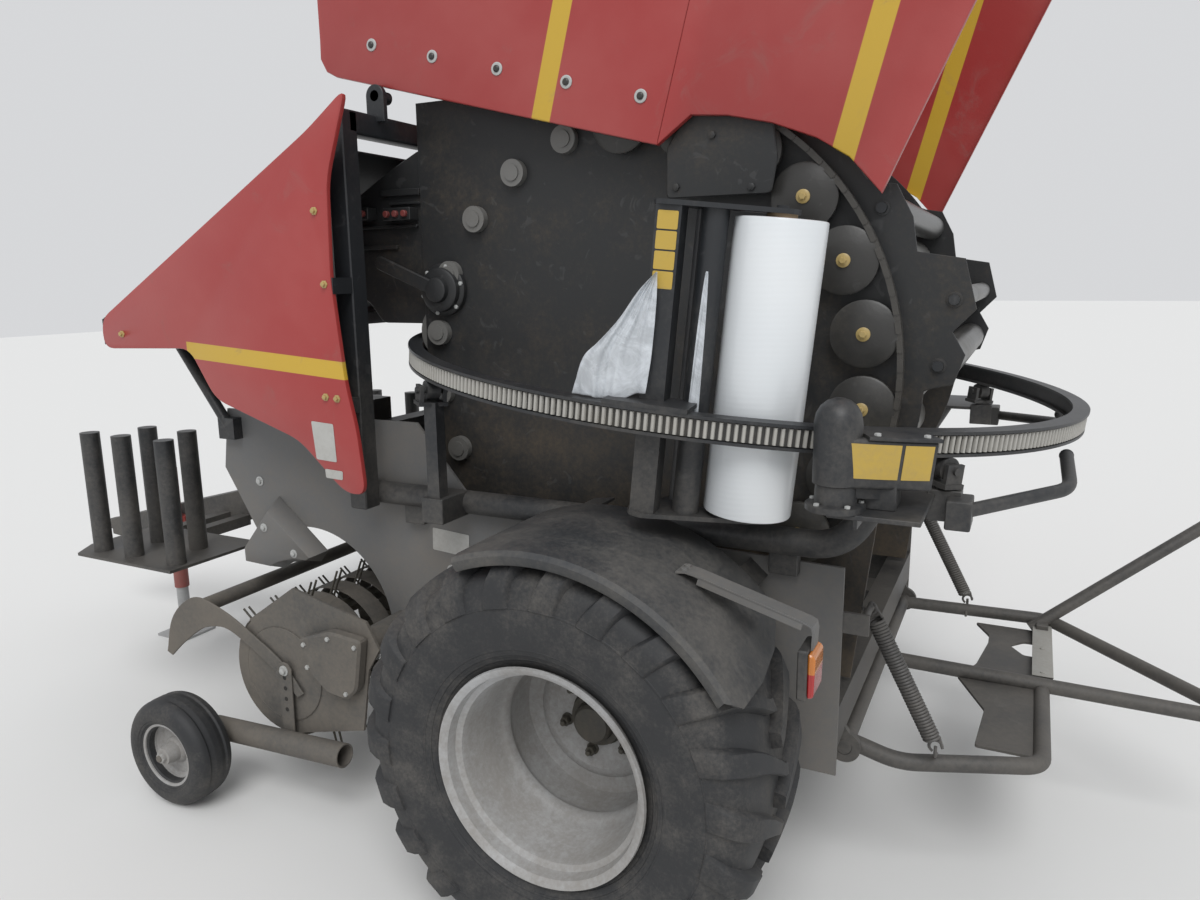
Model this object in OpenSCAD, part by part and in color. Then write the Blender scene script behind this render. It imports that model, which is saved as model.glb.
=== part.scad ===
/* [Stance] */
// Outer diameter of a main tyre
tyre_d = 1172; // [1100:4:1200]
// Width of a main tyre
tyre_w = 500; // [440:10:520]
// Outer diameter of the rim's flange
rim_d = 600; // [560:5:620]
// Distance from the middle plane to the middle of a main tyre
track_y = 1140; // [1130:5:1200]
// Number of lugs along each shoulder of a main tyre
lug_count = 22; // [16:1:26]
// Height of a lug
lug_h = 30; // [15:1:40]
// Distance from the axle to the front tip of the hitch eye
front_reach = 3600; // [3400:10:3800]
// Distance from the axle to the tip of the rear cradle
rear_reach = 1960; // [1860:10:2060]

/* [Chassis] */
// Height and depth of the axle beam
beam_h = 120; // [100:5:130]
// Distance from the middle plane to the outer face of a frame rail
rail_y = 780; // [775:1:785]
// Thickness of a side wall
wall_t = 10; // [6:1:12]
// Radius of the axle spindle
spindle_r = 35; // [30:1:40]
// Width of the drawbar
drawbar_w = 160; // [120:10:200]
// Height of the hitch eye above the ground
hitch_z = 500; // [450:10:560]
// Bore diameter of the hitch eye
hitch_bore = 51; // [40:1:60]
// Outer diameter of the hitch eye
hitch_d = 120; // [100:5:140]
// Thickness of the hitch eye
hitch_t = 42; // [30:2:50]
// Diameter of the input shaft
pto_d = 35; // [30:1:45]

/* [Chamber] */
// Inside width of the bale chamber
chamber_w = 1220; // [1200:2:1230]
// Radius of the circle through the roller centres
chamber_r = 720; // [700:5:730]
// Diameter of a chamber roller
roller_d = 188; // [180:1:192]
// Number of places round the chamber
roller_places = 22; // [20:1:22]
// Thickness of a chamber side plate
plate_t = 10; // [8:1:12]

/* [Ring] */
// Outer radius of the wrapping ring
ring_r = 1170; // [1165:1:1178]
// Radial depth of the ring's section
ring_depth = 48; // [44:1:50]
// Height of the ring's section
ring_h = 66; // [50:2:76]
// Slope of the ring, low at the rear
ring_tilt = 5.6; // [5:0.2:6]
// Number of teeth in the band round the ring
tooth_count = 198; // [160:2:210]
// Diameter of a film roll
film_d = 230; // [180:2:232]
// Length of a film roll
film_l = 750; // [700:10:760]

/* [Hood] */
// Angle by which the hood stands open
hood_open = 68; // [40:1:70]
// Overall width of the hood
hood_w = 1470; // [1460:2:1480]
// Thickness of a hood side
hood_side_t = 20; // [16:1:24]
// Thickness of the hood's skin
hood_skin = 20; // [12:1:26]

/* [Pickup] */
// Radius of the circle of the tine tips
tine_r = 330; // [310:5:335]
// Radius of the bands between the tines
band_r = 236; // [220:2:245]
// Number of rows of tines across the pickup
tine_rows = 15; // [11:1:17]
// Distance from the middle plane to the inner face of a side shield
pickup_y = 1000; // [980:5:1010]
// Diameter of a gauge wheel
gauge_d = 400; // [370:5:420]
// Width of a gauge wheel
gauge_w = 150; // [120:5:160]

/* [Hidden] */
$fn = 48;

dark = "#2b2d2f";
grey = "#8b8f92";
black = "#17181a";
red = "#b01c20";
silver = "#b9bcbe";
hub_grey = "#6d7174";

// The axle lies at x = 0 in every module; this puts the middle of the outline on the origin
axle_x = (front_reach - rear_reach) / 2;
tyre_r = tyre_d / 2;
fit = 0.3;
wall_y = rail_y + wall_t;
plate_y = chamber_w / 2;
hood_side_y = hood_w / 2;
hood_in_y = hood_side_y - hood_side_t;
left = -1;
right = 1;

// Main points in the side plane, as [x, z]
chamber_c = [-70, 1570];
ring_c = [61, 1506];
hood_pin = [-900, 2420];
reel_c = [-1250, 470];
pickup_pin = [-880, 640];
gauge_c = [-1590, gauge_d / 2];
drop_pin = [640, 470];

function unit(v) = v / norm(v);
function arc_pts(c, r, a0, a1, n) =
    [for (i = [0 : n]) let (a = a0 + (a1 - a0) * i / n) [c[0] + r * cos(a), c[1] + r * sin(a)]];

module at_axle() translate([axle_x, 0, 0]) children();

// Pieces are drawn for the left side, y below zero, and mirrored for the right
module on_side(side) mirror([0, side > 0 ? 1 : 0, 0]) children();

// A side-plane outline [x, z] made into a plate from y0 to y1
module side_plate(y0, y1) translate([0, y1, 0]) rotate([90, 0, 0]) linear_extrude(y1 - y0) children();

// A round bar across the machine from y0 to y1 at a side-plane point
module cross_bar(p, r, y0, y1) translate([p[0], y1, p[1]]) rotate([90, 0, 0]) cylinder(r = r, h = y1 - y0);

module box(x0, x1, y0, y1, z0, z1) translate([x0, y0, z0]) cube([x1 - x0, y1 - y0, z1 - z0]);

module rod(a, b, r) {
    v = b - a;
    translate(a) rotate([0, acos(v[2] / norm(v)), atan2(v[1], v[0])]) cylinder(r = r, h = norm(v));
}

// Places children so that their x runs along ex and their z along ez
module oriented(o, ex, ez) {
    ey = cross(ez, ex);
    multmatrix([
        [ex[0], ey[0], ez[0], o[0]],
        [ex[1], ey[1], ez[1], o[1]],
        [ex[2], ey[2], ez[2], o[2]],
        [0, 0, 0, 1]
    ]) children();
}

// A round tube along points, with true round bends and a weld bead where each bend meets a straight
module bent_tube(pts, r, bend) {
    last = len(pts) - 1;
    gap = 1;
    dir = [for (i = [0 : last - 1]) unit(pts[i + 1] - pts[i])];
    turn = [for (i = [0 : last]) i == 0 || i == last ? 0 : acos(dir[i - 1] * dir[i])];
    cut = [for (i = [0 : last]) bend * tan(turn[i] / 2)];
    for (i = [0 : last - 1]) {
        a = pts[i] + dir[i] * (cut[i] + (i == 0 ? 0 : gap));
        b = pts[i + 1] - dir[i] * (cut[i + 1] + (i == last - 1 ? 0 : gap));
        rod(a, b, r);
        if (i > 0) rod(a - dir[i] * 5, a + dir[i] * 3, r + 1);
        if (i < last - 1) rod(b - dir[i] * 3, b + dir[i] * 5, r + 1);
    }
    for (i = [1 : last - 1]) {
        n = unit(cross(dir[i - 1], dir[i]));
        inward = cross(n, dir[i - 1]);
        oriented(pts[i] - dir[i - 1] * cut[i] + inward * bend, -inward, n)
            rotate_extrude(angle = turn[i]) translate([bend, 0]) circle(r);
    }
}

// A flat strap between two points, with round ends
module strap_2d(a, b, w) {
    t = atan2(b[1] - a[1], b[0] - a[0]);
    polygon(concat(arc_pts(b, w / 2, t - 90, t + 90, 8), arc_pts(a, w / 2, t + 90, t + 270, 8)));
}

// Chassis

axle_z = tyre_r;
beam_z0 = axle_z - beam_h / 2;
beam_z1 = axle_z + beam_h / 2;
rail_w = 70;
rail_x0 = -800;
rail_x1 = 640;
rim_dish_y = 150;
spindle_y = track_y - rim_dish_y + 40;
drop_pin_r = 24;
drop_ear_y = 655;

module main_frame() color(dark) at_axle() {
    box(-beam_h / 2, beam_h / 2, -wall_y - 60, wall_y + 60, beam_z0, beam_z1);
    for (side = [left, right]) on_side(side) {
        box(rail_x0, rail_x1, -rail_y, -rail_y + rail_w, beam_z0, beam_z1);
        cross_bar([0, axle_z], spindle_r, -spindle_y, -wall_y);
    }
    for (x = [rail_x0, rail_x1 - 80]) box(x, x + 80, -rail_y, rail_y, beam_z0, beam_z1);
    // Ears for the pin of the drop frame
    for (side = [left, right]) on_side(side) side_plate(-drop_ear_y - 20, -drop_ear_y) difference() {
        union() {
            translate(drop_pin) circle(48);
            polygon([drop_pin + [-48, 0], drop_pin + [48, 0], [rail_x1, beam_z0 + 10], [rail_x1 - 80, beam_z0 + 10]]);
        }
        translate(drop_pin) circle(drop_pin_r + fit);
    }
}

gearbox_x = -1650;
nose_x = -front_reach + 100;

module drawbar() color(dark) at_axle() {
    box(gearbox_x, gearbox_x + 100, -rail_y, rail_y, 1080, 1200);
    side_plate(-drawbar_w / 2, drawbar_w / 2) polygon([
        [gearbox_x, 1080], [gearbox_x + 100, 1080], [gearbox_x + 100, 960], [-2480, 640],
        [nose_x + 60, hitch_z - 45], [nose_x, hitch_z - 40], [nose_x, hitch_z + 40],
        [nose_x + 60, hitch_z + 60], [-2500, 800]
    ]);
    translate([-front_reach + hitch_d / 2, 0, hitch_z - hitch_t / 2]) difference() {
        union() {
            cylinder(d = hitch_d, h = hitch_t);
            translate([0, -hitch_d / 2, 0]) cube([60, hitch_d, hitch_t]);
        }
        translate([0, 0, -1]) cylinder(d = hitch_bore, h = hitch_t + 2);
    }
}

pickup_pin_r = 50;
reel_gap = 25;

// The wall's lower front edge leaves room for the pickup, down and lifted
pickup_lift = 18;
function lifted(p) = let (v = p - pickup_pin, a = atan2(v[1], v[0]) - pickup_lift)
    pickup_pin + norm(v) * [cos(a), sin(a)];

module side_wall(side) color(grey) at_axle() on_side(side) side_plate(-wall_y, -rail_y) difference() {
    polygon([
        [-1670, 1370], [-1710, 1140], [-1630, 1010], [-1480, 760], [-1000, 440], [rail_x1, 440],
        [rail_x1, 1060], [-540, 1090], [-780, 1370]
    ]);
    for (c = [reel_c, lifted(reel_c)]) translate(c) circle(tine_r + reel_gap, $fn = 96);
    translate(pickup_pin) circle(pickup_pin_r + fit);
    translate([0, axle_z]) square([beam_h + 1, beam_h + 1], center = true);
}

// Carrier of the wrapping ring: side tubes, front arch and rear guard tube

carrier_r = 38;
carrier_y = wall_y + carrier_r;
carrier_z = 1130;
arch_x = -930;
arch_y = 895;
arch_w = 70;
arch_top = hood_pin[1] - 60;
rise_z = 1270;
guard_z = 1330;
guard_x = 1290;
guide_r = 30;
ring_in_r = ring_r - ring_depth;
guide_mid_r = ring_r - ring_depth / 2;

// Ring guides: [angle round the ring, height of the carrier under it]
GUIDES = [[-125, carrier_z], [-44, rise_z], [44, rise_z], [125, carrier_z]];

module at_ring() translate([ring_c[0], 0, ring_c[1]]) rotate([0, ring_tilt, 0]) children();

function ring_point(r, a) = [ring_c[0] + r * cos(a) * cos(ring_tilt), r * sin(a),
    ring_c[1] - r * cos(a) * sin(ring_tilt)];

module carrier_frame() color(dark) at_axle() {
    half = [
        [arch_x - 35, -carrier_y, carrier_z], [650, -carrier_y, carrier_z],
        [760, -carrier_y, rise_z], [1150, -carrier_y, rise_z], [guard_x, -480, guard_z]
    ];
    bent_tube(concat(half, [for (i = [len(half) - 1 : -1 : 0])
        [half[i][0], -half[i][1], half[i][2]]]), carrier_r, 110);
    box(arch_x - arch_w / 2, arch_x + arch_w / 2, -arch_y, arch_y, arch_top - arch_w, arch_top);
    for (side = [left, right]) on_side(side) {
        box(arch_x - arch_w / 2, arch_x + arch_w / 2, -arch_y - arch_w / 2, -arch_y + arch_w / 2,
            carrier_z - 40, arch_top);
        // Ear and pin of the hood's hinge
        side_plate(-hood_side_y - 30, -hood_side_y - 10) {
            translate(hood_pin) circle(35);
            translate([hood_pin[0] - 35, arch_top - 20]) square([70, hood_pin[1] - arch_top + 20]);
        }
        cross_bar(hood_pin, 20, -hood_side_y - 30, -hood_in_y + 15);
        // Saddles that weld the side tube to the wall
        for (x = [-780, -100, 480]) box(x - 40, x + 40, -carrier_y, -wall_y, 1030, carrier_z - 15);
    }
    for (g = GUIDES) let (p = ring_point(guide_mid_r, g[0]), s = sign(p[1]))
        box(p[0] - 40, p[0] + 40, min(s * carrier_y, p[1] - 35), max(s * carrier_y, p[1] + 35),
            g[1] - 40, g[1] + 40);
}

module ring_guides() color(black) at_axle() for (g = GUIDES) {
    p = ring_point(guide_mid_r, g[0]);
    pin_z = -ring_h / 2 - fit - guide_r;
    at_ring() rotate(g[0]) translate([guide_mid_r, 0, pin_z]) {
        // Roller under the ring on its radial pin, its two cheeks and their foot
        translate([-20, 0, 0]) rotate([0, 90, 0]) cylinder(r = guide_r, h = 40);
        translate([-50, 0, 0]) rotate([0, 90, 0]) cylinder(r = 10, h = 100);
        for (x = [-42, 30]) translate([x, -25, -44]) cube([12, 50, 60]);
        translate([-46, -29, -46]) cube([92, 58, 12]);
    }
    box(p[0] - 22, p[0] + 22, p[1] - 22, p[1] + 22, g[1] + 40, p[2] - ring_h / 2 - guide_r - 36);
}

// Red front panels, their frame and the sloping cover between them

panel_y = 1020;
panel_t = 4;
cover_low = [-2010, 1712];
cover_top = [-954, 2287];

module front_panel_2d() polygon([
    [-794, 2394], cover_top, cover_low, [-2010, 1605], [-1562, 1616], [-1455, 1445], [-1082, 1328],
    [-901, 1168], [-816, 1168], [-837, 1381], [-869, 1520], [-901, 1840], [-890, 2138]
]);

module front_panels() color(red) at_axle() for (side = [left, right]) on_side(side)
    side_plate(-panel_y, -panel_y + panel_t) front_panel_2d();

rail_t = 40;

module panel_frame() color(dark) at_axle() {
    in_y = panel_y - panel_t;
    slope = unit(cover_top - cover_low);
    down = [slope[1], -slope[0]];
    low = cover_low + slope * 30 + down * 50;
    high = [arch_x - arch_w / 2, 0];
    for (side = [left, right]) on_side(side) {
        // Sloping rail behind the panel, from the arch post to the front
        side_plate(-in_y, -in_y + rail_t) intersection() {
            polygon([low, low + slope * 1300, low + slope * 1300 + down * rail_t, low + down * rail_t]);
            translate([-2100, 1400]) square([high[0] + 2100, 1000]);
        }
        for (z = [1420, 1800]) box(high[0], arch_x + arch_w / 2, -in_y, -arch_y - arch_w / 2, z, z + 50);
        box(high[0] - 60, high[0], -in_y, -in_y + rail_t, 1440, 2140);
        rod([low[0] + 60, -wall_y - 40, low[1]], [-1640, -wall_y - 20, 1300], 20);
        box(-1680, -1600, -wall_y - 40, -wall_y, 1260, 1340);
    }
    box(low[0] + 20, low[0] + 20 + rail_t, -in_y, in_y, low[1] - rail_t, low[1]);
}

module front_cover() color(black) at_axle() side_plate(-panel_y + panel_t + 1, panel_y - panel_t - 1) {
    slope = unit(cover_top - cover_low);
    down = [slope[1], -slope[0]];
    translate(cover_low) rotate(atan2(slope[1], slope[0])) translate([0, -10]) square([1150, 8]);
    translate(cover_low + down * 10) square([8, 1]);
    translate([cover_low[0], 1620]) square([8, cover_low[1] - 1620]);
}

// Bale chamber

roller_r = roller_d / 2;
roller_step = 360 / roller_places;
first_roller = 41.8;
intake_place = round(180 / roller_step);
hub_r = 42;
shaft_r = 25;
rear_plate_r = 868;

function roller_angle(i) = first_roller + i * roller_step;
function roller_c(i) = chamber_c + chamber_r * [cos(roller_angle(i)), sin(roller_angle(i))];

// Places round the chamber, without the gap where the crop comes in
rear_places = [for (i = [-7 : 3]) i];
front_places = [for (i = [4 : roller_places - 8]) if (i != intake_place) i];

module chamber_side_2d() difference() {
    union() {
        translate(chamber_c) circle(rear_plate_r, $fn = 96);
        polygon([[rail_x0, beam_z1], [rail_x1, beam_z1], [700, 1200], [-880, 1200]]);
        // Ear behind the chamber that carries the net rollers
        polygon([[700, 2080], [930, 2040], [965, 1600], [780, 1520], [600, 1560]]);
    }
    translate([-1100, 1400]) square([250, 900]);
    for (i = concat(rear_places, front_places)) translate(roller_c(i)) circle(shaft_r + fit);
    for (n = NET_ROLLERS) translate([n[0], n[1]]) circle(15 + fit);
}

// Cover plate over the upper sprockets, on three studs
shield_y = hood_in_y - 15;
SHIELD_STUDS = [[110, 2090], [330, 2080], [215, 2223]];

module chamber_side(side) color(dark) at_axle() on_side(side) {
    side_plate(-plate_y - plate_t, -plate_y) chamber_side_2d();
    side_plate(-shield_y, -shield_y + plate_t)
        polygon([[80, 2200], [145, 2290], [385, 2250], [400, 2150], [385, 2060], [80, 2060]]);
    for (p = SHIELD_STUDS) cross_bar(p, 12, -shield_y + plate_t / 2, -plate_y);
}

module roller(c) {
    cross_bar(c, roller_r, -plate_y, plate_y);
    cross_bar(c, shaft_r, -plate_y - plate_t - 30, plate_y + plate_t + 30);
    for (side = [left, right]) on_side(side) cross_bar(c, hub_r, -plate_y - plate_t - 25, -plate_y - plate_t);
}

module front_rollers() color(grey) at_axle() for (i = front_places) roller(roller_c(i));
module rear_rollers() color(grey) at_axle() for (i = rear_places) roller(roller_c(i));

chain_y = -plate_y - plate_t - 44;
sprocket_r = 85;

module drive_chain() color(hub_grey) at_axle() {
    for (i = [for (k = rear_places) if (k > -6) k]) translate([0, 0, 0])
        difference() {
            cross_bar(roller_c(i), sprocket_r, chain_y, chain_y + 14);
            cross_bar(roller_c(i), shaft_r + fit, chain_y - 1, chain_y + 15);
        }
    a0 = roller_angle(-5);
    a1 = roller_angle(3);
    r = chamber_r + sprocket_r - 4;
    side_plate(chain_y, chain_y + 14) polygon(concat(
        arc_pts(chamber_c, r, a0, a1, 40), arc_pts(chamber_c, r + 16, a1, a0, 40)));
}

// Net rollers behind the chamber: [x, z, radius]
NET_ROLLERS = [[860, 1975, 36], [900, 1760, 45], [880, 1630, 34]];

module net_rollers() color(black) at_axle() for (n = NET_ROLLERS) {
    cross_bar([n[0], n[1]], n[2], -plate_y, plate_y);
    cross_bar([n[0], n[1]], 15, -plate_y - plate_t - 15, plate_y + plate_t + 15);
}

// Drive input

gearbox_l = 150;
pto_c = [gearbox_x - gearbox_l, 1190];
pto_l = 110;

module gearbox() color(hub_grey) at_axle() {
    box(gearbox_x - gearbox_l + 20, gearbox_x, -130, 130, 1085, 1300);
    translate([pto_c[0], 0, pto_c[1]]) rotate([0, 90, 0]) cylinder(r = 75, h = 40);
    translate([pto_c[0] - pto_l, 0, pto_c[1]]) rotate([0, 90, 0]) cylinder(d = pto_d, h = pto_l + 10);
}

module pto_guard() color("#c8cc2c") at_axle() translate([pto_c[0], 0, pto_c[1]]) rotate([0, -90, 0])
    difference() {
        union() {
            translate([0, 0, -18]) cylinder(r = 82, h = 20);
            cylinder(r1 = 85, r2 = 105, h = 160);
        }
        translate([0, 0, -19]) cylinder(r = 75 + fit, h = 60);
        translate([0, 0, 4]) cylinder(r1 = 80, r2 = 100, h = 157);
    }

// Rack with the film spindles, on each side of the drawbar

rack_z = 690;
RACK_TUBES = [[-2510, 790], [-2310, 790], [-2050, 790], [-2150, 600], [-2400, 600]];

module spool_rack() color(black) at_axle() {
    difference() {
        union() for (side = [left, right]) on_side(side) {
            translate([0, 0, rack_z]) linear_extrude(12)
                polygon([[-2640, -420], [-2640, -760], [-2570, -870], [-1990, -870], [-1980, -420]]);
            for (p = RACK_TUBES) translate([p[0], -p[1], rack_z]) cylinder(r = 38, h = 530);
            for (x = [-2580, -2440]) box(x - 30, x + 30, -600, 0, rack_z - 50, rack_z);
        }
        for (s = [left, right]) box(-3000, -1900, -drawbar_w / 2, drawbar_w / 2, 0, 2000);
    }
}

// Jack at the drawbar's left side

jack_x = nose_x + 600;
jack_r = 36;
jack_y = -drawbar_w / 2 - jack_r - 20;

module jack_tube() color(red) at_axle() {
    translate([jack_x, jack_y, 260]) difference() {
        cylinder(r = jack_r, h = 640);
        translate([0, 0, -1]) cylinder(r = jack_r - 6, h = 600);
    }
    difference() {
        box(jack_x - 50, jack_x + 50, jack_y + 20, -drawbar_w / 2, 500, 640);
        translate([jack_x, jack_y, 400]) cylinder(r = jack_r - 1, h = 400);
    }
    translate([jack_x, jack_y, 870]) rotate([0, -90, 0]) cylinder(r = 10, h = 160);
    translate([jack_x - 150, jack_y, 870]) cylinder(r = 10, h = 90);
}

module jack_leg() color(silver) at_axle() translate([jack_x, jack_y, 0]) {
    translate([0, 0, 12]) cylinder(r = jack_r - 6 - fit, h = 560);
    translate([-100, -100, 0]) cube([200, 200, 12]);
}

// Fenders and rear lamps

fender_r = tyre_r + 22;
fender_t = 6;

module fenders() color(black) at_axle() for (side = [left, right]) on_side(side) {
    side_plate(-track_y - tyre_w / 2 + 5, -track_y + tyre_w / 2 + 10) polygon(concat(
        arc_pts([0, axle_z], fender_r, 30, 112, 24),
        arc_pts([0, axle_z], fender_r + fender_t, 112, 30, 24)));
    for (a = [48, 98]) translate([0, 0, axle_z]) rotate([0, -a, 0])
        translate([fender_r, -track_y + tyre_w / 2 - 30, -35]) cube([fender_t, track_y - tyre_w / 2 + 30 - wall_y, 70]);
}

lamp_c = [635, 930];

module lamp_brackets() color(grey) at_axle() for (side = [left, right]) on_side(side) {
    a = 58;
    foot = [0, axle_z] + (fender_r + fender_t + 4 + fit) * [cos(a), sin(a)];
    side_plate(-1180, -1130) {
        strap_2d(foot, [lamp_c[0] + 10, foot[1]], 8);
        translate([lamp_c[0] + 6, lamp_c[1] + 60]) square([8, foot[1] - lamp_c[1] - 60]);
    }
}

module lamps() color("#7c1416") at_axle() for (side = [left, right]) on_side(side)
    box(lamp_c[0] - 22, lamp_c[0] + 22, -1210, -1110, lamp_c[1] - 70, lamp_c[1] + 60);

// Wheels

module tyre(side) color(black) at_axle() translate([0, side * track_y, axle_z]) rotate([90, 0, 0]) {
    half = tyre_w / 2;
    rotate_extrude($fn = 96) polygon([
        [rim_d / 2 - 20, -half + 75], [rim_d / 2 + 8, -half + 60], [rim_d / 2 + 70, -half + 8],
        [tyre_r - 90, -half], [tyre_r - 20, -half + 25], [tyre_r, -half + 70],
        [tyre_r, half - 70], [tyre_r - 20, half - 25], [tyre_r - 90, half],
        [rim_d / 2 + 70, half - 8], [rim_d / 2 + 8, half - 60], [rim_d / 2 - 20, half - 75]
    ]);
}

module rim(side) color(silver) at_axle() translate([0, side * track_y, axle_z]) rotate([side * 90, 0, 0]) {
    half = tyre_w / 2;
    // Profile with the outer side of the wheel at negative heights
    rotate_extrude($fn = 96) polygon([
        [rim_d / 2 - 21, -half + 20], [rim_d / 2, -half + 20], [rim_d / 2, -half + 52],
        [rim_d / 2 - 21, -half + 60], [rim_d / 2 - 21, half - 60], [rim_d / 2, half - 52],
        [rim_d / 2, half - 20], [rim_d / 2 - 21, half - 20], [rim_d / 2 - 33, half - 60],
        [rim_d / 2 - 33, -half + 60]
    ]);
    difference() {
        union() {
            translate([0, 0, rim_dish_y - 12]) cylinder(r = rim_d / 2 - 25, h = 12);
            translate([0, 0, rim_dish_y - 90]) cylinder(r = 100, h = 120);
        }
        translate([0, 0, rim_dish_y - 60]) cylinder(r = spindle_r + fit, h = 200);
    }
}

// Pickup

bar_r = 150;
reel_y = pickup_y - 12;
row_pitch = 2 * (pickup_y - 30) / tine_rows;
function row_y(i) = -pickup_y + 30 + row_pitch * (i + 0.5);

module pickup_frame() color(dark) at_axle() {
    cross_bar(pickup_pin, pickup_pin_r, -pickup_y - 2, pickup_y + 2);
    for (side = [left, right]) on_side(side) side_plate(-pickup_y - 10, -pickup_y) difference() {
        union() {
            translate(reel_c) circle(225);
            polygon([reel_c + [-150, 180], [-1180, 800], [-860, 730], [-810, 640], [-860, 560],
                [-900, 330], reel_c + [60, -215]]);
        }
        translate(reel_c) circle(30 + fit);
    }
    // Bands between the rows of tines, open at the rear
    for (i = [0 : tine_rows]) {
        y = -pickup_y + 30 + row_pitch * i;
        w = (row_pitch - 46) / 2;
        y0 = i == 0 ? -pickup_y : y - w;
        y1 = i == tine_rows ? pickup_y : y + w;
        side_plate(y0, y1) {
            polygon(concat(arc_pts(reel_c, band_r, 20, 300, 28), arc_pts(reel_c, band_r - 4, 300, 20, 28)));
            strap_2d(reel_c + (band_r - 2) * [cos(20), sin(20)], pickup_pin + [-20, 30], 4);
        }
    }
}

module pickup_reel() color(hub_grey) at_axle() {
    cross_bar(reel_c, 30, -pickup_y - 10, pickup_y + 10);
    for (y = [-800, 0, 800]) cross_bar(reel_c, bar_r + 22, y - 5, y + 5);
    for (k = [0 : 4]) {
        a = 20 + 72 * k;
        p = reel_c + bar_r * [cos(a), sin(a)];
        cross_bar(p, 16, -reel_y + 5, reel_y - 5);
        for (i = [0 : tine_rows - 1]) for (dy = [-12, 12]) {
            tip = reel_c + (tine_r - 2) * [cos(a - 14), sin(a - 14)];
            rod([p[0], row_y(i) + dy, p[1]], [tip[0], row_y(i) + dy, tip[1]], 4);
        }
    }
}

guard_c = [-1640, 660];

module wind_guard() color(dark) at_axle() {
    cross_bar(guard_c, 28, -pickup_y - 10, pickup_y + 10);
    for (side = [left, right]) on_side(side) {
        side_plate(-pickup_y - 20, -pickup_y - 10) {
            strap_2d(guard_c, [-1400, 720], 60);
            strap_2d([-1400, 720], [-1290, 640], 60);
            strap_2d(guard_c, [-1790, 600], 44);
            strap_2d([-1790, 600], [-1840, 480], 36);
        }
    }
}

gauge_arm_y = pickup_y + 20;
gauge_y = 1200;

module gauge_arms() color(dark) at_axle() for (side = [left, right]) on_side(side) {
    box(gauge_c[0] - 25, -960, -gauge_arm_y - 50, -gauge_arm_y, 222, 272);
    box(gauge_c[0] - 25, gauge_c[0] + 25, -gauge_arm_y - 50, -gauge_arm_y, gauge_c[1] - 30, 240);
    side_plate(-gauge_arm_y, -pickup_y - 10) polygon([[-1330, 225], [-1270, 225], [-1270, 420], [-1330, 420]]);
    side_plate(-gauge_arm_y, -pickup_y - 10) polygon([[-1010, 225], [-960, 225], [-960, 420], [-1010, 420]]);
    cross_bar(gauge_c, 12, -gauge_y - gauge_w / 2 - 10, -gauge_arm_y - 20);
}

module gauge_wheel(side) color(black) at_axle() translate([gauge_c[0], side * gauge_y, gauge_c[1]])
    rotate([90, 0, 0]) rotate_extrude($fn = 64) polygon([
        [12 + fit, -gauge_w / 2], [40, -gauge_w / 2], [44, -25], [110, -25], [116, -gauge_w / 2 + 18],
        [gauge_d / 2 - 30, -gauge_w / 2], [gauge_d / 2 - 8, -gauge_w / 2 + 16], [gauge_d / 2, -gauge_w / 2 + 45],
        [gauge_d / 2, gauge_w / 2 - 45], [gauge_d / 2 - 8, gauge_w / 2 - 16], [gauge_d / 2 - 30, gauge_w / 2],
        [116, gauge_w / 2 - 18], [110, 25], [44, 25], [40, gauge_w / 2], [12 + fit, gauge_w / 2]
    ]);

// Hood, drawn closed and turned open about its hinge

hood_front_a = -82.5;
hood_edge_o = [-886, 2555];
hood_crown_z = 2850;
hood_rear_x = 1040;
shoulder_r = 420;
shoulder_c = [hood_rear_x - shoulder_r, hood_crown_z - shoulder_r];
hood_reach = 2030;
hood_brow = [-806, 2717];

// Front edge of a hood side from the brow to the foot: [distance along the edge, depth behind it]
HOOD_EDGE = [
    [-138, 45], [-105, 10], [-60, 0], [1120, 0], [1198, 95], [1423, 115], [1550, 100], [1647, 70], [1752, 0], [1760, 0]
];

module opened() translate([hood_pin[0], 0, hood_pin[1]]) rotate([0, -hood_open, 0])
    translate([-hood_pin[0], 0, -hood_pin[1]]) children();

module hood_side_2d() {
    edge = [cos(hood_front_a), sin(hood_front_a)];
    inward = [-edge[1], edge[0]];
    heel_a = -53.8;
    heel_b = -acos((hood_rear_x - hood_pin[0]) / hood_reach);
    difference() {
        union() {
            polygon(concat(
                [for (p = HOOD_EDGE) hood_edge_o + edge * p[0] + inward * p[1]],
                arc_pts(hood_pin, hood_reach, heel_a, heel_b, 20),
                arc_pts(shoulder_c, shoulder_r, 0, 90, 12),
                [[-480, hood_crown_z], hood_brow]));
            translate(hood_pin) circle(45);
            translate(hood_pin + [0, -20]) square([90, 60]);
        }
        translate(hood_pin) circle(20 + fit);
    }
}

module hood_side(side) color(red) at_axle() opened() on_side(side)
    side_plate(-hood_side_y, -hood_in_y) hood_side_2d();

module hood_shell() color(red) at_axle() opened() side_plate(-hood_in_y, hood_in_y) polygon(concat(
    [hood_brow, [-480, hood_crown_z]],
    arc_pts(shoulder_c, shoulder_r, 90, 0, 16),
    [[hood_rear_x, 2100], [hood_rear_x - hood_skin, 2100]],
    arc_pts(shoulder_c, shoulder_r - hood_skin, 0, 90, 16),
    [[-480, hood_crown_z - hood_skin], hood_brow - [0, hood_skin]]
));

// Wrapping ring, its dispensers and rolls; heights are above the ring's middle plane

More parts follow.
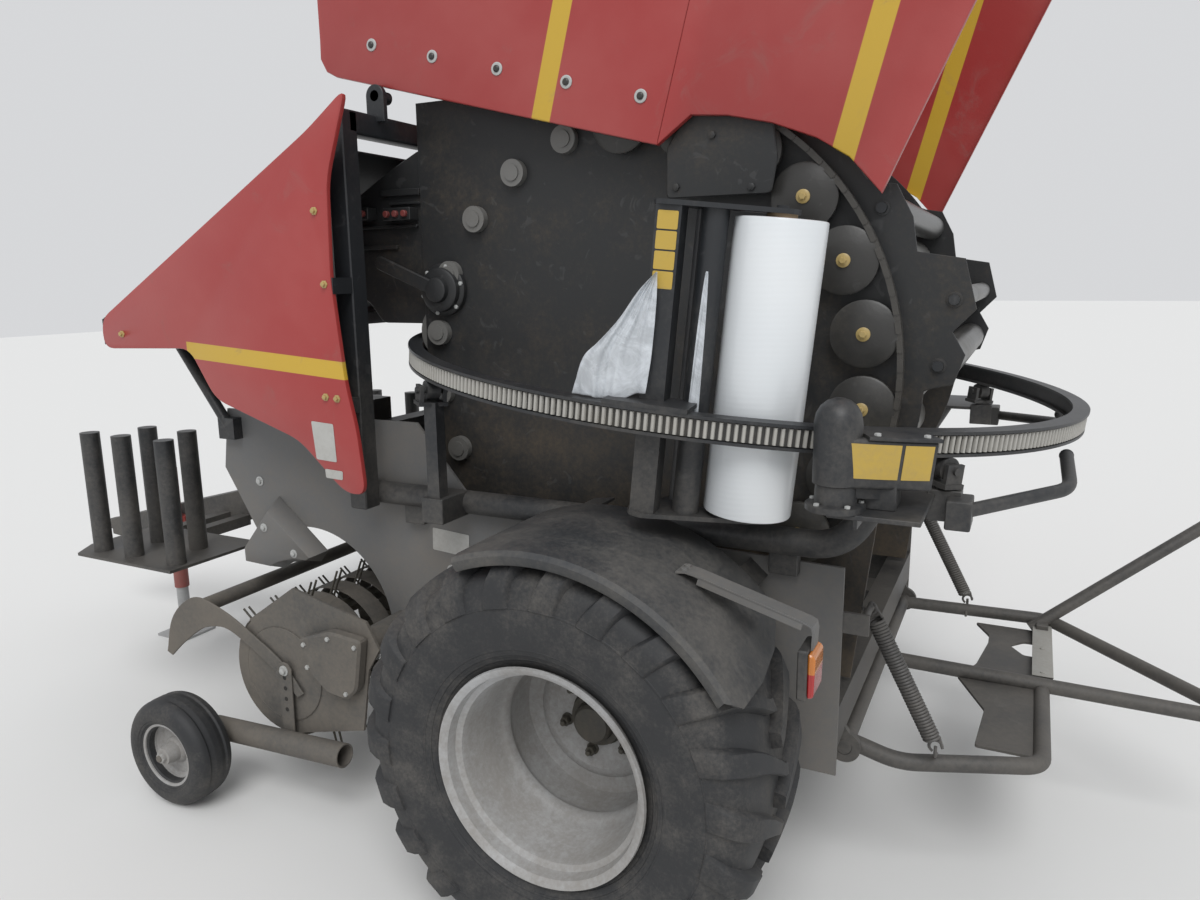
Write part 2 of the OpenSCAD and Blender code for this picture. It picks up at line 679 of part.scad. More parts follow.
module wrap_ring() color(dark) at_axle() at_ring() rotate_extrude($fn = 180) polygon([
    [ring_in_r, -ring_h / 2], [ring_r - 4, -ring_h / 2], [ring_r - 4, -ring_h / 2 + 8],
    [ring_r - 18, -ring_h / 2 + 8], [ring_r - 18, ring_h / 2 - 8], [ring_r, ring_h / 2 - 8],
    [ring_r, ring_h / 2], [ring_in_r, ring_h / 2], [ring_in_r, ring_h / 2 - 8],
    [ring_r - 26, ring_h / 2 - 8], [ring_r - 26, -ring_h / 2 + 8], [ring_in_r, -ring_h / 2 + 8]
]);

module ring_chain() color(grey) at_axle() at_ring() translate([0, 0, -20]) linear_extrude(40)
    difference() {
        polygon([for (i = [0 : 2 * tooth_count - 1]) let (a = 180 * i / tooth_count)
            (i % 2 == 0 ? ring_r - 6 : ring_r - 12) * [cos(a), sin(a)]]);
        circle(ring_r - 18, $fn = 720);
    }

roll_a = -68.4;
roll_orbit = ring_in_r - 122;
roll_z0 = -240;
post_a = -83;
post_orbit = ring_in_r - 54;
post_w = 65;
arm_t = 12;
core_r = 38;
STRETCH_ROLLERS = [[-77.5, ring_in_r - 92], [-79, ring_in_r - 192]];

function polar(r, a) = r * [cos(a), sin(a)];

module dispenser_arm(z) translate([0, 0, z]) linear_extrude(arm_t) difference() {
    union() {
        strap_2d(polar(post_orbit, post_a), polar(roll_orbit, roll_a), 90);
        strap_2d(polar(post_orbit, post_a), polar(STRETCH_ROLLERS[1][1], STRETCH_ROLLERS[1][0]), 80);
    }
    translate(polar(roll_orbit, roll_a)) circle(15 + fit);
}

module dispenser(turn) color(black) at_axle() at_ring() rotate(turn) {
    z0 = roll_z0 - 12 - arm_t;
    z1 = roll_z0 + film_l + 12;
    dispenser_arm(z0);
    dispenser_arm(z1);
    rotate(post_a) {
        translate([post_orbit - post_w / 2, -post_w / 2, z0]) cube([post_w, post_w, z1 - z0 + arm_t]);
        // Foot plate on the ring's top
        translate([post_orbit - 30, -110, ring_h / 2]) cube([ring_r - post_orbit + 28, 220, 12]);
    }
    for (s = STRETCH_ROLLERS) translate(concat(polar(s[1], s[0]), z0 + arm_t)) cylinder(r = 35, h = z1 - z0 - arm_t);
}

module film_roll(turn) color("#e9edee") at_axle() at_ring() rotate(turn + roll_a)
    translate([roll_orbit, 0, roll_z0]) {
        difference() {
            cylinder(d = film_d, h = film_l, $fn = 72);
            translate([0, 0, -1]) cylinder(r = core_r - 4, h = 21);
            translate([0, 0, film_l - 20]) cylinder(r = core_r - 4, h = 21);
        }
        translate([0, 0, -12]) cylinder(r = core_r, h = 14);
        translate([0, 0, film_l - 2]) cylinder(r = core_r, h = 14);
        translate([0, 0, -12 - arm_t - 8]) cylinder(r = 15, h = film_l + 2 * (12 + arm_t + 8));
    }

module film_tail() color("#dfe6ea") at_axle() at_ring() rotate(post_a)
    translate([post_orbit + post_w / 2 + fit, -post_w / 2 + 20, 0])
    rotate([0, 90, 0]) linear_extrude(2) polygon([[-50, 0], [-300, 0], [-310, -8], [-60, -215], [-50, -200]]);

// Drive of the ring

drive_a = -56.7;
drive_orbit = ring_r + 92;

module ring_drive() color(black) at_axle() {
    p = ring_point(drive_orbit, drive_a);
    translate([p[0], p[1], p[2] - 90]) {
        cylinder(r = 80, h = 50);
        cylinder(r = 50, h = 130);
        translate([0, 0, 40]) cylinder(r = 42, h = 190);
    }
    difference() {
        side = carrier_y;
        box(p[0] - 70, p[0] + 70, p[1] - 60, -side, p[2] - 110, p[2] - 85);
        box(p[0] - 80, p[0] + 80, -side - carrier_r - 1, -side + 60, 1000, 1500);
    }
    box(p[0] - 40, p[0] + 40, -carrier_y - carrier_r - 30, -carrier_y - carrier_r, guard_z - 70, p[2] - 100);
}

// Rear drop frame and its springs

drop_r = 25;
drop_z = 430;

module drop_frame() color(dark) at_axle() {
    cross_bar(drop_pin, drop_pin_r, -drop_ear_y - 35, drop_ear_y + 35);
    for (side = [left, right]) on_side(side) {
        bent_tube([[drop_pin[0] - 10, -620, drop_pin[1]], [760, -620, drop_z], [1170, -620, drop_z],
            [1170, -400, drop_z]], drop_r, 70);
    }
    rod([1170, -420, drop_z], [1170, 420, drop_z], drop_r);
    rod([drop_pin[0], 30, drop_pin[1] - 10], [1700, 30, drop_z], drop_r);
    for (y = [-300, 300]) bent_tube([[1170, y, drop_z], [1560, y, drop_z + 60],
        [rear_reach - drop_r, y, drop_z + 220]], drop_r, 80);
    for (y = [-300, 300]) translate([rear_reach - drop_r - 2, y, drop_z + 219]) sphere(drop_r + 2);
    rod([1540, -310, drop_z + 60], [1540, 310, drop_z + 60], 20);
}

spring_y = 640;
spring_top = [690, 900];
spring_foot = [950, drop_z + drop_r + 60];

module springs() color(grey) at_axle() for (side = [left, right]) on_side(side) {
    box(rail_x1 - 60, spring_top[0] + 20, -rail_y, -rail_y + 12, spring_top[1] - 30, spring_top[1] + 30);
    cross_bar(spring_top, 10, -rail_y + 2, -spring_y + 30);
    rod([spring_top[0], -spring_y, spring_top[1]], [spring_foot[0], -spring_y, spring_foot[1]], 26);
    rod([spring_foot[0], -spring_y, spring_foot[1] + 10], [spring_foot[0], -620, drop_z + drop_r + 2], 5);
}

main_frame();
drawbar();
side_wall(left);  // side_wall_left
side_wall(right);  // side_wall_right
carrier_frame();
panel_frame();
front_panels();
front_cover();
ring_guides();
ring_drive();
chamber_side(left);  // chamber_side_left
chamber_side(right);  // chamber_side_right
front_rollers();
rear_rollers();
drive_chain();
net_rollers();
gearbox();
pto_guard();
spool_rack();
jack_tube();
jack_leg();
fenders();
lamp_brackets();
lamps();
tyre(left);  // tyre_left
tyre(right);  // tyre_right
rim(left);  // rim_left
rim(right);  // rim_right
pickup_frame();
pickup_reel();
wind_guard();
gauge_arms();
gauge_wheel(left);  // gauge_wheel_left
gauge_wheel(right);  // gauge_wheel_right
hood_side(left);  // hood_side_left
hood_side(right);  // hood_side_right
hood_shell();
wrap_ring();
ring_chain();
dispenser(0);  // dispenser_left
dispenser(180);  // dispenser_right
film_roll(0);  // film_roll_left
film_roll(180);  // film_roll_right
film_tail();
drop_frame();
springs();
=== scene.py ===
import math

import bmesh
import bpy
import numpy as np
from mathutils import Matrix, Vector


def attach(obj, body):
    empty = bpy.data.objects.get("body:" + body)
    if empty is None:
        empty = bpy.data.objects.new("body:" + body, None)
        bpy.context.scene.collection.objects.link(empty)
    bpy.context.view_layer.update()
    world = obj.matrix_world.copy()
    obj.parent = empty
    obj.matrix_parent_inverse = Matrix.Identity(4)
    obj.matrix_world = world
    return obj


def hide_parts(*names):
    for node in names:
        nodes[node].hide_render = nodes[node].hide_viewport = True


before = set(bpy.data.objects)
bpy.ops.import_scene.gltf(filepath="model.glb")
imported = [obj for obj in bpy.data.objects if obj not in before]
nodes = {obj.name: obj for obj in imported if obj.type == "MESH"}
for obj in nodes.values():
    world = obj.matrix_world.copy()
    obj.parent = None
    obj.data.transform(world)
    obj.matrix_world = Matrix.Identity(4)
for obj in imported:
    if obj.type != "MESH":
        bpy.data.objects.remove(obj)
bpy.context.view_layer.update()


# Camera, standing at the rear left corner at eye height and looking forward past the wheel.
# The lens is the wide one of a phone, about 26 mm on a 36 mm wide sensor.
camera_place = Vector((1.871, -3.113, 1.845))
camera_turn, camera_dip, camera_roll = (math.radians(a) for a in (26.28, -11.23, -0.66))
camera_focus = 875 / 1200  # in picture widths
sensor_width = 36

forward = Vector((-math.sin(camera_turn) * math.cos(camera_dip),
                  math.cos(camera_turn) * math.cos(camera_dip), math.sin(camera_dip)))
level = Vector((math.cos(camera_turn), math.sin(camera_turn), 0))
upright = level.cross(forward)
across = math.cos(camera_roll) * level + math.sin(camera_roll) * upright
upright = across.cross(forward)
camera = bpy.data.objects.new("camera", bpy.data.cameras.new("camera"))
camera.data.sensor_width = sensor_width
camera.data.lens = sensor_width * camera_focus
camera_axes = Matrix((across, upright, -forward)).transposed().to_4x4()
camera.matrix_world = Matrix.Translation(camera_place) @ camera_axes
bpy.context.scene.collection.objects.link(camera)
bpy.context.scene.camera = camera
bpy.context.scene.view_settings.view_transform = "Standard"


# Shader expressions: a Value is one node output, and arithmetic on it adds Math nodes.
# A Finish is one material; its node method makes every other kind of node.
class Value:
    """One output of a node. + - * ** with numbers or other Values add Math nodes."""

    def __init__(self, finish, socket):
        self.finish, self.socket = finish, socket

    def math(self, operation, other=None, swapped=False):
        ends = (self,) if other is None else (other, self) if swapped else (self, other)
        return self.finish.node("Math", {"operation": operation}, dict(enumerate(ends)))

    def __add__(self, other): return self.math("ADD", other)
    def __sub__(self, other): return self.math("SUBTRACT", other)
    def __rsub__(self, other): return self.math("SUBTRACT", other, True)
    def __mul__(self, other): return self.math("MULTIPLY", other)
    def __pow__(self, other): return self.math("POWER", other)
    __radd__, __rmul__ = __add__, __mul__

    def step(self, low, high):
        """0 below low, 1 above high, smooth between them."""
        return self.finish.node("MapRange", {"interpolation_type": "SMOOTHSTEP", "clamp": True},
                                {0: self, 1: low, 2: high})

    def band(self, middle, half, soft):
        """1 within half of middle, 0 outside, with an edge of width soft."""
        return 1 - (self - middle).math("ABSOLUTE").step(half, half + soft)


class Finish:
    """A material with one Principled shader, built by calls to node and shader."""

    def __init__(self, name):
        self.material = bpy.data.materials.new(name)
        self.material.use_nodes = True
        self.tree = self.material.node_tree
        self.tree.nodes.clear()
        self.place = self.node("TexCoord", {}, {}, "Object")

    def node(self, kind, settings, sockets, output=0):
        """A node of the kind with its settings; each socket gets a link, a colour or a number."""
        made = self.tree.nodes.new("ShaderNode" + kind)
        for key, value in settings.items():
            setattr(made, key, value)
        for key, value in sockets.items():
            if isinstance(value, Value):
                self.tree.links.new(value.socket, made.inputs[key])
            elif isinstance(value, tuple) and len(value) == 3 and made.inputs[key].type == "RGBA":
                made.inputs[key].default_value = (*value, 1)
            else:
                made.inputs[key].default_value = value
        return None if output is None else Value(self, made.outputs[output])

    def noise(self, scale, detail=3, rough=0.55, warp=0):
        return self.node("TexNoise", {}, {"Vector": self.place, "Scale": scale, "Detail": detail,
                                          "Roughness": rough, "Distortion": warp})

    def mix(self, amount, a, b):
        return self.node("Mix", {"data_type": "RGBA"}, {0: amount, 6: a, 7: b}, 2)

    def axes(self):
        """x, y and z of the point in the part's frame, in metres."""
        split = self.node("SeparateXYZ", {}, {0: self.place})
        return [Value(self, output) for output in split.socket.node.outputs]

    def bump(self, height, distance, strength=1.0):
        return self.node("Bump", {}, {"Height": height, "Distance": distance, "Strength": strength})

    def shader(self, **sockets):
        names = {key.replace("_", " "): value for key, value in sockets.items()}
        self.node("OutputMaterial", {}, {"Surface": self.node("BsdfPrincipled", {}, names)}, None)

    def dress(self, *names):
        """Puts the material on CAD nodes that stay visible."""
        for name in names:
            nodes[name].data.materials.clear()
            nodes[name].data.materials.append(self.material)


# Plain pale floor, and soft studio light: an even grey sky with one broad lamp from the rear left.
floor = bpy.data.objects.new("floor", bpy.data.meshes.new("floor"))
floor.data.from_pydata([(-30, -30, 0), (30, -30, 0), (30, 60, 0), (-30, 60, 0)], [], [(0, 1, 2, 3)])
bpy.context.scene.collection.objects.link(floor)
ground = Finish("pale_floor")
ground.shader(Base_Color=(0.74, 0.74, 0.73), Roughness=0.85)
floor.data.materials.append(ground.material)

world = bpy.data.worlds.new("sky")
world.use_nodes = True
bpy.context.scene.world = world
sky = world.node_tree.nodes["Background"]
sky.inputs["Color"].default_value = (0.9, 0.91, 0.93, 1)
sky.inputs["Strength"].default_value = 0.75
lamp = bpy.data.objects.new("broad_lamp", bpy.data.lights.new("broad_lamp", "SUN"))
lamp.data.energy = 1.6
lamp.data.angle = math.radians(35)
lamp.rotation_euler = Vector((-0.35, 0.75, -1.0)).to_track_quat("-Z", "Y").to_euler()
bpy.context.scene.collection.objects.link(lamp)


# Chassis: drawbar, frame, ring and dispensers, welded from steel section in black satin paint. The
# paint is dull with road dust, thickest low down.
def dusty_paint(name, colour, gloss=0.42, share=0.6, dust=(0.17, 0.155, 0.135)):
    """Paint whose dust is clouds plus specks plus a share that falls from the ground to 2 m."""
    paint = Finish(name)
    height = paint.axes()[2]
    cloud = paint.noise(3.2, 5, 0.62)
    speck = paint.noise(70, 3, 0.7)
    scuff = paint.noise(14, 4, 0.5, warp=1.5).step(0.62, 0.7)
    amount = (cloud * 0.75 + speck * 0.35 + (1 - height.step(0.2, 2.0)) * 0.35).step(0.52, 1.05) * share
    tone = paint.mix(amount, paint.mix(scuff * 0.35, colour, tuple(0.6 * c + 0.06 for c in colour)), dust)
    paint.shader(Base_Color=tone, Roughness=amount * 0.45 + gloss,
                 Normal=paint.bump(speck + cloud * 2, 0.0008, 0.5))
    return paint


frame_black = dusty_paint("frame_black", (0.019, 0.021, 0.024))
frame_black.dress("main_frame", "drawbar", "panel_frame", "spool_rack", "ring_guides", "wrap_ring",
                  "dispenser_left", "dispenser_right")


# Side walls: folded sheet steel, welded to the frame behind the wheels. Their grey paint lies under
# a film of dried dust.
wall_grey = dusty_paint("wall_grey", (0.125, 0.128, 0.13), 0.5, 0.8, (0.19, 0.172, 0.15))
wall_grey.dress("side_wall_left", "side_wall_right")


# Front cover: one sloping sheet of black plastic over the net and the drive, hinged at its upper edge.
# It is the cleanest face of the machine.
cover_black = dusty_paint("cover_black", (0.012, 0.013, 0.014), 0.4, 0.22, (0.1, 0.09, 0.075))
cover_black.dress("front_cover")


# Bale chamber and drives: steel rollers polished by crop, on bearings in the side plates. Gearbox,
# tines and sprockets are dark with oil and chaff, the shaft's guard is yellow and the jack is red.
roller_steel = dusty_paint("roller_steel", (0.16, 0.158, 0.15), 0.38, 0.6, (0.12, 0.105, 0.08))
roller_steel.dress("front_rollers", "rear_rollers")
oily = dusty_paint("oily_steel", (0.035, 0.034, 0.032), 0.4, 0.6, (0.13, 0.115, 0.085))
oily.dress("drive_chain", "gearbox", "pickup_reel")
dusty_paint("guard_yellow", (0.48, 0.5, 0.03), 0.45, 0.45).dress("pto_guard")
dusty_paint("jack_red", (0.3, 0.03, 0.025), 0.4, 0.5).dress("jack_tube")
dusty_paint("zinc", (0.42, 0.43, 0.44), 0.35, 0.4).dress("jack_leg")


# Surfaces: every piece is one mesh of closed surfaces, and each surface is a stack of rings of points.
class Surface:
    """Closed surfaces gathered in one mesh. Each is given as rings of points, ring after ring."""

    def __init__(self):
        self.points, self.faces, self.finish_of, self.count = [], [], [], 0

    def rings(self, points, endless=False, finish=0):
        """points[i, j] is point j of ring i. endless joins the last ring to the first, else both close."""
        points = np.asarray(points, float)
        many, around = points.shape[:2]
        index = self.count + np.arange(many * around).reshape(many, around)
        near, far = (index, np.roll(index, -1, 0)) if endless else (index[:-1], index[1:])
        faces = np.stack((near, np.roll(near, -1, 1), np.roll(far, -1, 1), far), -1).reshape(-1, 4).tolist()
        if not endless:
            faces += [index[0, ::-1].tolist(), index[-1].tolist()]
        self.faces += faces
        self.finish_of += [finish] * len(faces)
        self.points.append(points.reshape(-1, 3))
        self.count += many * around
        return self

    def bar(self, profile, steps, centre, axis, finish=0):
        """A solid round bar, bolt or washer of the profile, as stacked gives it."""
        return self.rings(stacked(profile, steps, centre, axis), finish=finish)

    def piece(self, name, body, slot, finishes, replaced=(), sharp=35):
        """Makes the object: normals outwards, smooth below the sharp angle, riding on its body."""
        mesh = bpy.data.meshes.new(name)
        mesh.from_pydata(np.concatenate(self.points), [], self.faces)
        for finish in finishes:
            mesh.materials.append(finish.material)
        mesh.polygons.foreach_set("material_index", self.finish_of)
        shell = bmesh.new()
        shell.from_mesh(mesh)
        bmesh.ops.recalc_face_normals(shell, faces=shell.faces)
        shell.to_mesh(mesh)
        shell.free()
        mesh.polygons.foreach_set("use_smooth", [True] * len(mesh.polygons))
        mesh.set_sharp_from_angle(angle=math.radians(sharp))
        made = bpy.data.objects.new(name, mesh)
        bpy.context.scene.collection.objects.link(made)
        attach(made, body)
        if replaced:
            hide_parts(*replaced)
        return made


def unit(vectors):
    """The vectors, each divided by its length."""
    return vectors / np.linalg.norm(vectors, axis=-1, keepdims=True)


def turned(profile, steps, centre, axis):
    """A closed profile of (height along axis, radius) turned round the axis; ring i is it at turn i."""
    axis = unit(np.array(axis, float))
    side = unit(np.cross(axis, (0, 0, 1.0) if abs(axis[2]) < 0.9 else (1.0, 0, 0)))
    other = np.cross(axis, side)
    turn = np.linspace(0, 2 * math.pi, steps, endpoint=False)[:, None, None]
    height, radius = np.array(profile, float).T[:, None, :, None]
    return np.array(centre) + height * axis + radius * (np.cos(turn) * side + np.sin(turn) * other)


def stacked(profile, steps, centre, axis):
    """A solid round bar: circles of the radius at each height, one above the other, with flat ends."""
    return np.swapaxes(turned(profile, steps, centre, axis), 0, 1)


# Sprockets, chain and hub bolts on the chamber's left side: pressed steel discs on the roller
# shafts, held by yellow zinc bolts, with a roller chain round them.
axle_x = 0.82
chamber_x, chamber_z, chamber_r = axle_x - 0.07, 1.57, 0.72  # middle of the chamber, circle of its rollers
sprocket_turns = np.radians(41.8 + 360 / 22 * np.arange(-5, 4))
yellow_zinc = dusty_paint("yellow_zinc", (0.42, 0.31, 0.12), 0.35, 0.3, (0.2, 0.17, 0.12))
hubs = Surface()
for turn in sprocket_turns:
    hub = (chamber_x + chamber_r * math.cos(turn), -0.664, chamber_z + chamber_r * math.sin(turn))
    hubs.bar([(-0.012, 0.092), (0.002, 0.092), (0.006, 0.086), (0.01, 0.055), (0.012, 0.05)], 32, hub,
             (0, -1, 0))
    hubs.bar([(0.008, 0.019), (0.017, 0.019), (0.019, 0.016)], 24, hub, (0, -1, 0), 1)
    hubs.bar([(0.016, 0.0105), (0.026, 0.0105), (0.028, 0.008)], 6, hub, (0, -1, 0), 1)
hubs.piece("sprocket_hubs", "chassis", "chain_steel", (oily, yellow_zinc))

chain = Surface()
chain_r = chamber_r + 0.09
pitch_turn = 0.0254 / chain_r
# One link plate in the side plane: (distance off the chain's line, place along it in pitches)
link_end = 0.62 * math.cos(0.3) ** 0.5
link = np.array([(0, 1.12), (0.008, 0.5 + link_end), (0.008, 0.5 - link_end), (0, -0.12),
                 (-0.008, 0.5 - link_end), (-0.008, 0.5 + link_end)])
for k, turn in enumerate(np.arange(sprocket_turns[0], sprocket_turns[-1], pitch_turn)):
    link_r, link_turn = chain_r + link[:, 0], turn + pitch_turn * link[:, 1]
    flat = np.stack((chamber_x + link_r * np.cos(link_turn), chamber_z + link_r * np.sin(link_turn)), -1)
    for y in (-0.668 - 0.003 * (k % 2), -0.65 + 0.003 * (k % 2)):
        chain.rings([[(x, y + d, z) for x, z in flat] for d in (-0.0012, 0.0012)])
    pin = (chamber_x + chain_r * math.cos(turn), -0.659, chamber_z + chain_r * math.sin(turn))
    chain.bar([(-0.013, 0.0055), (0.013, 0.0055)], 8, pin, (0, 1, 0))
chain_finish = dusty_paint("chain_finish", (0.06, 0.056, 0.05), 0.4, 0.6, (0.16, 0.14, 0.11))
chain.piece("roller_chain", "chassis", "chain_steel", (chain_finish,))


# Main wheels: wide flotation tyres with deep lugs in two rows, set half a lug apart. They sit on deep
# silver rims, each held on its oily hub by six nuts.
both_sides = (("left", -1), ("right", 1))
tyre_r, track_y = 0.586, 1.14
lug_count, lug_h = 22, 0.03


def smooth_line(points, between=4):
    """A Catmull-Rom curve through all points, with between steps from each point to the next."""
    p = np.array(points, float)
    p = np.concatenate(([2 * p[0] - p[1]], p, [2 * p[-1] - p[-2]]))
    t = (np.arange(between) / between)[None, :, None]
    a, b, c, d = (p[i:len(p) - 3 + i, None] for i in range(4))
    curve = b + 0.5 * t * (c - a + t * (2 * a - 5 * b + 4 * c - d + t * (3 * b - a - 3 * c + d)))
    return np.concatenate((curve.reshape(-1, p.shape[1]), p[-2:-1]))


def rubber(name, centre_x, centre_z, marks):
    """Rubber, grey with dust; marks are radii of fine rings moulded on the side wall."""
    finish = Finish(name)
    x, _, z = finish.axes()
    radius = ((x - centre_x) ** 2 + (z - centre_z) ** 2) ** 0.5
    cloud, speck = finish.noise(5, 5, 0.65), finish.noise(110, 3, 0.7)
    dust = (cloud * 0.9 + speck * 0.4).step(0.55, 1.0)
    rings = sum((radius.band(mark, 0.0015, 0.002) for mark in marks[1:]),
                radius.band(marks[0], 0.0015, 0.002))
    finish.shader(Base_Color=finish.mix(dust * 0.75, (0.022, 0.023, 0.025), (0.135, 0.125, 0.112)),
                  Roughness=dust * 0.25 + 0.62,
                  Normal=finish.bump(rings * 2 + speck * 0.4 + cloud, 0.0012, 0.7))
    return finish


tyre_rubber = rubber("tyre_rubber", axle_x, tyre_r, (0.318, 0.334, 0.35, 0.462))
silver = dusty_paint("rim_silver", (0.46, 0.47, 0.48), 0.42, 0.75, (0.2, 0.18, 0.155))
half_skin = smooth_line([(0, 0.558), (-0.07, 0.5575), (-0.14, 0.555), (-0.195, 0.546), (-0.228, 0.522),
                         (-0.243, 0.475), (-0.247, 0.42), (-0.238, 0.355), (-0.216, 0.312), (-0.2, 0.29)], 5)
carcass = np.concatenate((half_skin[::-1], half_skin[1:] * (-1, 1), [(0.19, 0.28), (-0.19, 0.28)]))
# Lug: from just over the middle of the tread, round the shoulder and down the side wall
skin_run = np.concatenate(([0], np.cumsum(np.linalg.norm(np.diff(half_skin, axis=0), axis=1))))
lug_path = np.linspace(-0.012, 0.3, 15)
spine = np.stack([np.interp(np.abs(lug_path), skin_run, half_skin[:, k]) for k in (0, 1)], -1)
spine[:, 0] *= np.sign(lug_path + 1e-9)
# Direction in which the lug stands off the carcass: square to the spine, away from the tyre's core
outward = np.gradient(spine, axis=0)[:, ::-1] * (1, -1)
outward = unit(outward) * np.sign(outward[:, 1:2] + 1e-3 - 0.9 * (spine[:, 1:2] < 0.5))
outward[spine[:, 1] < 0.53] = np.abs(outward[spine[:, 1] < 0.53]) * (-1, 1)
share = lug_path / lug_path[-1]
rise = lug_h * np.clip((1.06 - share) / 0.42, 0.08, 1) ** 0.8
half_wide = 0.019 + 0.014 * np.clip(share * 1.5, 0, 1)
section = [(-1.22, -0.35), (-1.0, 0.78), (-0.84, 1.0), (0.84, 1.0), (1.0, 0.78), (1.22, -0.35)]
lug = np.stack([np.stack((half_wide * across, *(spine + outward * (rise * up)[:, None]).T), -1)
                for across, up in section], 1)
lead = 0.27 * np.clip(1 - share, 0, 1) ** 1.4

rim_face = [(-0.236, 0.294), (-0.226, 0.281), (-0.196, 0.276), (-0.186, 0.262), (-0.168, 0.257),
            (-0.03, 0.252), (-0.014, 0.24), (0.0, 0.231), (0.014, 0.231), (0.026, 0.24), (0.045, 0.243),
            (0.105, 0.243), (0.128, 0.236), (0.134, 0.222), (0.136, 0.192), (0.124, 0.176), (0.122, 0.16),
            (0.136, 0.142), (0.138, 0.084)]
rim_back = [(0.15, 0.084), (0.15, 0.24), (0.16, 0.256), (0.19, 0.274), (0.226, 0.281), (0.236, 0.294),
            (0.238, 0.301), (0.228, 0.303), (0.192, 0.284), (0.16, 0.266), (-0.16, 0.266), (-0.192, 0.284),
            (-0.228, 0.303), (-0.238, 0.301)]
for word, side in both_sides:
    centre, axis = (axle_x, side * track_y, tyre_r), (0, -side, 0)
    tyre = Surface().rings(turned(carcass, 144, centre, axis), endless=True)
    for hand in (-1, 1):
        for turn in (np.arange(lug_count) + 0.25 * hand) * 2 * math.pi / lug_count:
            angle = turn + side * lead[:, None] + lug[..., 0] / lug[..., 2]
            tyre.rings(np.stack((centre[0] + lug[..., 2] * np.cos(angle), centre[1] + hand * lug[..., 1],
                                 centre[2] + lug[..., 2] * np.sin(angle)), -1))
    tyre.piece("lugged_tyre_" + word, "wheel_" + word, "tyre", (tyre_rubber,), ("tyre_" + word,))
    rim = Surface().rings(turned(rim_face + rim_back, 96, centre, axis), endless=True)
    rim.bar([(0.195, 0.086), (0.13, 0.086), (0.124, 0.08), (0.108, 0.078), (0.104, 0.062), (0.08, 0.058),
             (0.072, 0.05), (0.07, 0.02)], 40, centre, axis, 1)
    for turn in np.arange(6) * math.pi / 3 + 0.3:
        nut = (centre[0] + 0.112 * math.cos(turn), centre[1], centre[2] + 0.112 * math.sin(turn))
        rim.bar([(0.14, 0.019), (0.133, 0.019), (0.131, 0.017)], 20, nut, axis, 1)
        rim.bar([(0.134, 0.0155), (0.114, 0.0155), (0.111, 0.013)], 6, nut, axis, 1)
        rim.bar([(0.114, 0.008), (0.1, 0.008), (0.098, 0.006)], 12, nut, axis, 1)
    rim.piece("deep_rim_" + word, "wheel_" + word, "rim_silver", (silver, oily), ("rim_" + word,))


# Gauge wheels: small ribbed tyres on pressed grey rims. Each turns on a pin at its side of the pickup
# and carries the pickup over the ground.
gauge_x, gauge_y, gauge_r = axle_x - 1.59, 1.2, 0.2
gauge_rubber = rubber("gauge_rubber", gauge_x, gauge_r, (0.125, 0.135))
gauge_half = smooth_line([(0, 0.197), (-0.03, 0.1965), (-0.052, 0.191), (-0.068, 0.176), (-0.075, 0.152),
                          (-0.07, 0.128), (-0.058, 0.112)], 4)
grooved = gauge_half - np.array((0, 0.005)) * (np.abs(np.abs(gauge_half[:, :1]) - 0.026) < 0.005)
gauge_face = [(-0.06, 0.108), (-0.062, 0.117), (-0.054, 0.119), (-0.05, 0.108), (-0.02, 0.1),
              (-0.012, 0.09), (-0.014, 0.05), (-0.024, 0.046), (-0.03, 0.038), (-0.055, 0.034),
              (-0.072, 0.03), (-0.075, 0.0125)]
for word, side in both_sides:
    centre, axis = (gauge_x, side * gauge_y, gauge_r), (0, -side, 0)
    wheel = Surface()
    ring = np.concatenate((grooved[::-1], grooved[1:] * (-1, 1), [(0.05, 0.102), (-0.05, 0.102)]))
    wheel.rings(turned(ring, 72, centre, axis), endless=True)
    face = gauge_face + [(-a, r) for a, r in gauge_face[::-1]]
    wheel.rings(turned(face, 60, centre, axis), endless=True, finish=1)
    wheel.bar([(-0.088, 0.01), (-0.086, 0.018), (-0.08, 0.02), (-0.07, 0.02)], 20, centre, axis, 1)
    wheel.piece("gauge_tyre_" + word, "gauge_" + word, "gauge_rubber", (gauge_rubber, silver),
                ("gauge_wheel_" + word,))


# Front side panels: pressed sheet with folded edges, in faded red with one painted yellow stripe. Five
# bolts a side hold each one to its frame.
def rounded(outline, radius, between=6):
    """The outline with each corner replaced by a parabola, from radius before it to radius after it."""
    p = np.array(outline, float)
    cuts = []
    for away in (np.roll(p, 1, 0) - p, np.roll(p, -1, 0) - p):
        length = np.linalg.norm(away, axis=1, keepdims=True)
        cuts.append(p + away / length * np.minimum(radius, 0.45 * length))
    t = np.linspace(0, 1, between)[None, :, None]
    before, after = (cut[:, None] for cut in cuts)
    return ((1 - t) ** 2 * before + 2 * t * (1 - t) * p[:, None] + t ** 2 * after).reshape(-1, 2)


def inset(outline, depth):
    """The outline moved inwards by depth along the normal of each point."""
    ahead, back = np.roll(outline, -1, 0) - outline, outline - np.roll(outline, 1, 0)
    along = unit(unit(ahead) + unit(back))
    area = np.sum(outline[:, 0] * np.roll(outline[:, 1], -1) - outline[:, 1] * np.roll(outline[:, 0], -1))
    return outline + depth * np.sign(area) * np.stack((-along[:, 1], along[:, 0]), -1)


def at_levels(outline, levels):
    """The outline [x, z] at each level of (depth that it is inset, y)."""
    flat = np.array(outline, float)
    return np.array([[(x, y, z) for x, z in inset(flat, depth)] for depth, y in levels])


